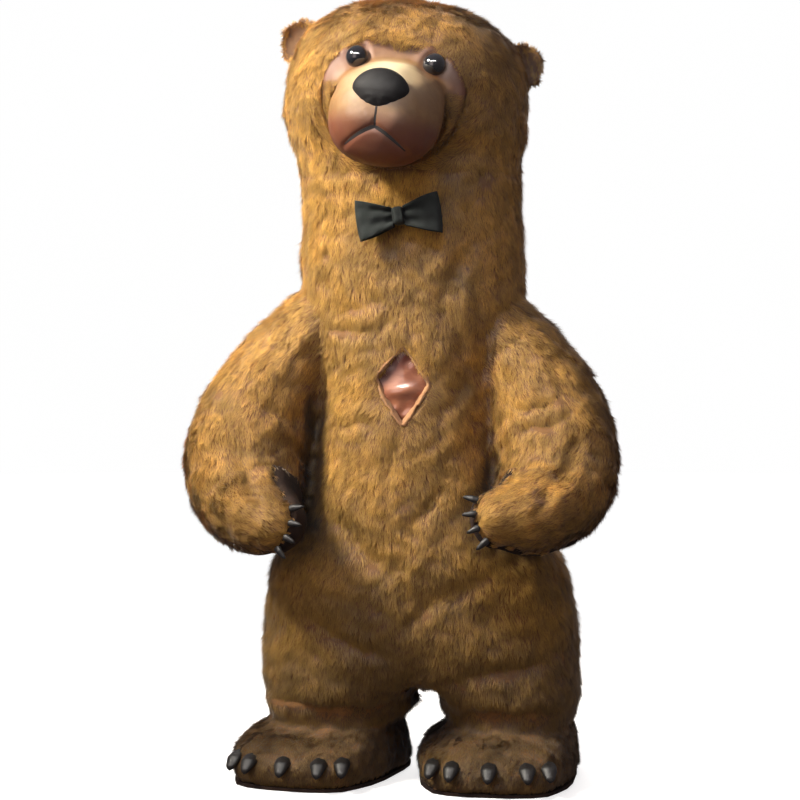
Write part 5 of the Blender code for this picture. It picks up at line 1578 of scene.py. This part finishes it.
def pileLengths(longest, kept, toFace, toSeam, toClaw, toGap):
    # shorter at seams, claws, the floor and the opened seam, and longer round the face
    pile = np.full(len(kept), longest)
    pile *= grownBack(toSeam, *pileEnds["seam"])
    pile *= grownBack(toClaw, *pileEnds["claw"])
    # longer where it hangs over the opened seam
    edge = 0.35 + 0.40 * eased((kept[:, 2] + 0.250) / 0.03)
    pile *= grownBack(toGap, edge, *pileEnds["gap"])
    pile *= grownBack(kept[:, 2] + suit["shoulderHeight"], *pileEnds["floor"])
    own = fromHead(kept)
    overEye = hollow(np.abs(own[:, 0]) - eyes["out"], 0.045, plush["overEye"])
    peak = hollow(own[:, 0], 0.035, plush["peak"])
    longer = plush["fringe"] + browShare(own) * (peak - overEye)
    return pile * (1 + hollow(toFace, 0.03, 1.0) * longer)


def dressInPile():
    skin, owner = outerSkin()
    points, normals, edges = pointsOf(skin), normalsOf(skin), edgesOf(skin)
    ends = edges[owner[edges[:, 0]] != owner[edges[:, 1]]]
    toSeam = awayFrom((points[ends[:, 0]] + points[ends[:, 1]]) / 2, points)
    claws = [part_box(name) for name in nodes if "claw" in name]
    toClaw = awayFrom([(low + high) / 2 for low, high in claws], points)
    heads = belongs(owner, "head") & (points[:, 1] < -0.08)
    toFace = np.where(heads, np.abs(faceReach(points)), 1.0)
    rim = np.insert(gapLine()[0], 1, 0.0, axis=1)
    toGap = np.where(points[:, 1] < 0, awayFrom(rim, points * (1, 0, 1)), 1.0)
    heap = heaped(points)
    points = points - normals * panelDepth(points, normals, owner, heap, toSeam, toFace)[:, None]
    setPoints(skin, points)
    closedIn = evened(closeness(skin), edges, 4)
    limb = ~belongs(owner, "head", "ear", "face")
    dark = creviceShade["dark"] * np.where(limb, 1.0, creviceShade["headShare"])
    # painted shade: the pile is painted darker where the rest of the suit closes it in
    heap = heap * 0.5 + 0.5 - dark * eased((closedIn - creviceShade["open"]) / creviceShade["span"])
    spot = spotTree(points)
    tree = pileTree()
    lock = newPiece("blade", bladeMesh(), smooth=False)
    faceOwner = [owner[polygon.vertices[0]] for polygon in skin.polygons]
    pieces = []
    for name, values in barePanels.items():
        mesh = keepFaces(skin, [given in values["nodes"] for given in faceOwner])
        mesh.name = name
        panel = newPiece(name, mesh, earSkin if name.startswith("ear") else suede)
        step = panel.modifiers.new("finer", "SUBSURF")
        step.levels = step.render_levels = 1
        panel = newPiece(name, evaluated(panel))
        standFor(panel, values["slot"], *values["nodes"])
    for index, (name, values) in enumerate(pelts.items()):
        mine = np.array([given in values["nodes"] for given in faceOwner])
        mesh = keepFaces(skin, mine)
        mesh.name = name
        piece = newPiece(name + "Backing", mesh, backing)
        if name.startswith("ear"):
            near = (owner == values["nodes"][0].replace("back", "inner")) & (toSeam < plush["earBand"])
            mine |= np.array([near[list(face.vertices)].all() for face in skin.polygons])
        bed = keepFaces(skin, mine)
        kept = pointsOf(bed)
        source = [spot.find(point)[1] for point in kept]
        away = [distance[source] for distance in (toFace, toSeam, toClaw, toGap)]
        giveAttribute(bed, "heap", heap[source])
        giveAttribute(bed, "pile", pileLengths(values["pile"], kept, *away))
        above = browShare(fromHead(kept))
        stand = hollow(toFace[source], 0.024, plush["rimLift"]) * (0.3 + 0.7 * above)
        lie = napOf(name, kept, normals[source]) + normals[source] * stand[:, None]
        giveAttribute(bed, "nap", lie)
        carrier = newPiece(name + "Carrier", bed)
        grown = tree.grow(carrier, **pileSettings(values["thick"], index), Blade=lock, Finish=fur)
        step = piece.modifiers.new("fewer", "DECIMATE")
        step.ratio = plush["backingShare"]
        coat = newPiece(name + "Pile", grown, fur)
        softened(grown)
        pieces.append((newPiece(name + "Backing", evaluated(piece)), coat, values))
    added = {"frontR": makeRipEdge(), "headThroat": [standFor(cheekRuff(tree, lock), "body_plush")]}
    bpy.data.objects.remove(lock)
    for piece, coat, values in pieces:
        standFor(piece, "body_plush", *values["nodes"])
        standFor(coat, "body_plush")
        extra = added.get(piece.name.replace("Backing", ""), [])
        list(extra)


faceSurface, faceMesh = makeFace()
dressInPile()
print("plush panels made")
makeMouth(faceSurface)
makeNose()
makeEyes()
print("face made")
makeClaws()
print("claws made")
makeLining()
makeBow()
print("lining and bow made")
makeZip()
for name in ("sole_R", "sole_L"):
    nodes[name].material_slots[0].material = suede
print("zip and soles made")


studio = {
    "floorSize": 40.0,
    "wallRadius": 14.0,
    "wallHeight": 12.0,
    "glow": (1.6, 4.2),  # how far out the floor starts to lighten into the wall, and ends
    "floorGlow": 0.70,
    "wallGlow": 1.0,
    "lens": 86.5,
    "distance": 5.0,
    "turn": 8.0,  # degrees that the bear stands turned from the camera
    "height": 1.05,
    "aside": -0.039,
    "horizonRow": 365,
    "imageSize": 800,
    "sky": (0.090, 0.32),  # how bright the room is from below and from above
}


def makeStage():
    # a pale floor that lightens into a white wall all round; neither throws light on the bear
    half, ground = studio["floorSize"] / 2, -suit["shoulderHeight"]
    floorMesh = bpy.data.meshes.new("floor")
    corners = [(x, y, ground) for x, y in ((-half, -half), (half, -half), (half, half), (-half, half))]
    floorMesh.from_pydata(corners, [], [(0, 1, 2, 3)])
    finish = Finish("paleFloor", Roughness=0.9, Emission_Strength=1.0)
    away = finish.add("ShaderNodeVectorMath", {"operation": "LENGTH"}, {0: finish.place}, output="Value")
    far = away.between(*studio["glow"])
    glow = finish.mix(far, (studio["floorGlow"],) * 3, (studio["wallGlow"],) * 3)
    pale = finish.mix(finish.noise(3.0), (0.76, 0.76, 0.75), (0.80, 0.80, 0.79))
    finish.set(Base_Color=finish.mix(far, pale, (0.0, 0.0, 0.0)), Emission_Color=glow)
    turn = np.linspace(0, 2 * math.pi, 97)[:-1]
    ring = np.stack([np.sin(turn), np.cos(turn), 0 * turn], axis=-1) * studio["wallRadius"]
    wallNet = [[ring + (0, 0, height) for height in (ground - 0.1, studio["wallHeight"])]]
    wallMesh = netMesh("wall", wallNet, closed=True)
    paint = Finish("whiteWall", Roughness=1.0, Emission_Strength=studio["wallGlow"])
    white = paint.mix(paint.noise(0.5), (1.0, 1.0, 1.0), (0.99, 0.99, 0.99))
    paint.set(Base_Color=(0.0, 0.0, 0.0), Emission_Color=white)
    floor = newPiece("floor", floorMesh, finish.material, smooth=False)
    for item in (floor, newPiece("wall", wallMesh, paint.material)):
        item.visible_diffuse = item.visible_glossy = False
        item.visible_shadow = False


def makeCamera():
    turn = math.radians(studio["turn"])
    camera = bpy.data.objects.new("camera", bpy.data.cameras.new("camera"))
    bpy.context.scene.collection.objects.link(camera)
    aside, back = studio["aside"], studio["distance"]
    camera.location = (
        aside * math.cos(turn) + back * math.sin(turn),
        aside * math.sin(turn) - back * math.cos(turn),
        studio["height"] - suit["shoulderHeight"],
    )
    camera.rotation_euler = (math.pi / 2, 0, turn)
    camera.data.lens = studio["lens"]
    camera.data.sensor_width = 36.0
    camera.data.shift_y = (studio["horizonRow"] - studio["imageSize"] / 2) / studio["imageSize"]
    bpy.context.scene.camera = camera


lamps = {  # place, aim, size, power, spread and colour
    "key": [(-2.79, -1.67, 2.70), (-0.27, -0.10, 0.26), (0.9, 0.9), 29, 43, (1.0, 0.94, 0.82)],
    "fill": [(-1.3, -3.5, 0.7), (0.0, 0.0, -0.1), (2.2, 2.2), 8.8, 100, (1.0, 0.84, 0.80)],
    "strip": [(-0.20, -2.0, 1.60), (0.0, -0.3, -0.1), (2.2, 0.20), 28, 90, (1.0, 0.97, 0.93)],
    "rear": [(0.2, 3.6, 1.7), (0.0, 0.0, -0.1), (2.0, 2.0), 40, 120, (1.0, 0.97, 0.92)],
}


def makeLights():
    for name, (place, aim, size, power, spread, colour) in lamps.items():
        light = bpy.data.lights.new(name, "AREA")
        light.shape = "RECTANGLE"
        light.size, light.size_y = size
        light.energy, light.color, light.spread = power, colour, math.radians(spread)
        item = bpy.data.objects.new(name, light)
        bpy.context.scene.collection.objects.link(item)
        item.location = place
        item.rotation_euler = (Vector(aim) - Vector(place)).to_track_quat("-Z", "Y").to_euler()
        item.visible_diffuse = name != "strip"  # it only shines in the glossy things
    world = bpy.data.worlds.new("studio")
    world.use_nodes = True
    tree = world.node_tree
    way = tree.nodes.new("ShaderNodeTexCoord").outputs["Generated"]
    split = tree.nodes.new("ShaderNodeSeparateXYZ")
    level = tree.nodes.new("ShaderNodeMapRange")
    given = {"From Min": -1.0, "From Max": 1.0, "To Min": studio["sky"][0], "To Max": studio["sky"][1]}
    for socket, value in given.items():
        level.inputs[socket].default_value = value
    tree.links.new(way, split.inputs[0])
    tree.links.new(split.outputs["Z"], level.inputs["Value"])
    background = tree.nodes["Background"]
    background.inputs["Color"].default_value = (1.0, 0.88, 0.93, 1.0)
    tree.links.new(level.outputs[0], background.inputs["Strength"])
    bpy.context.scene.world = world


bpy.context.scene.view_settings.view_transform = "Standard"
makeStage()
makeCamera()
makeLights()
print("stage made")
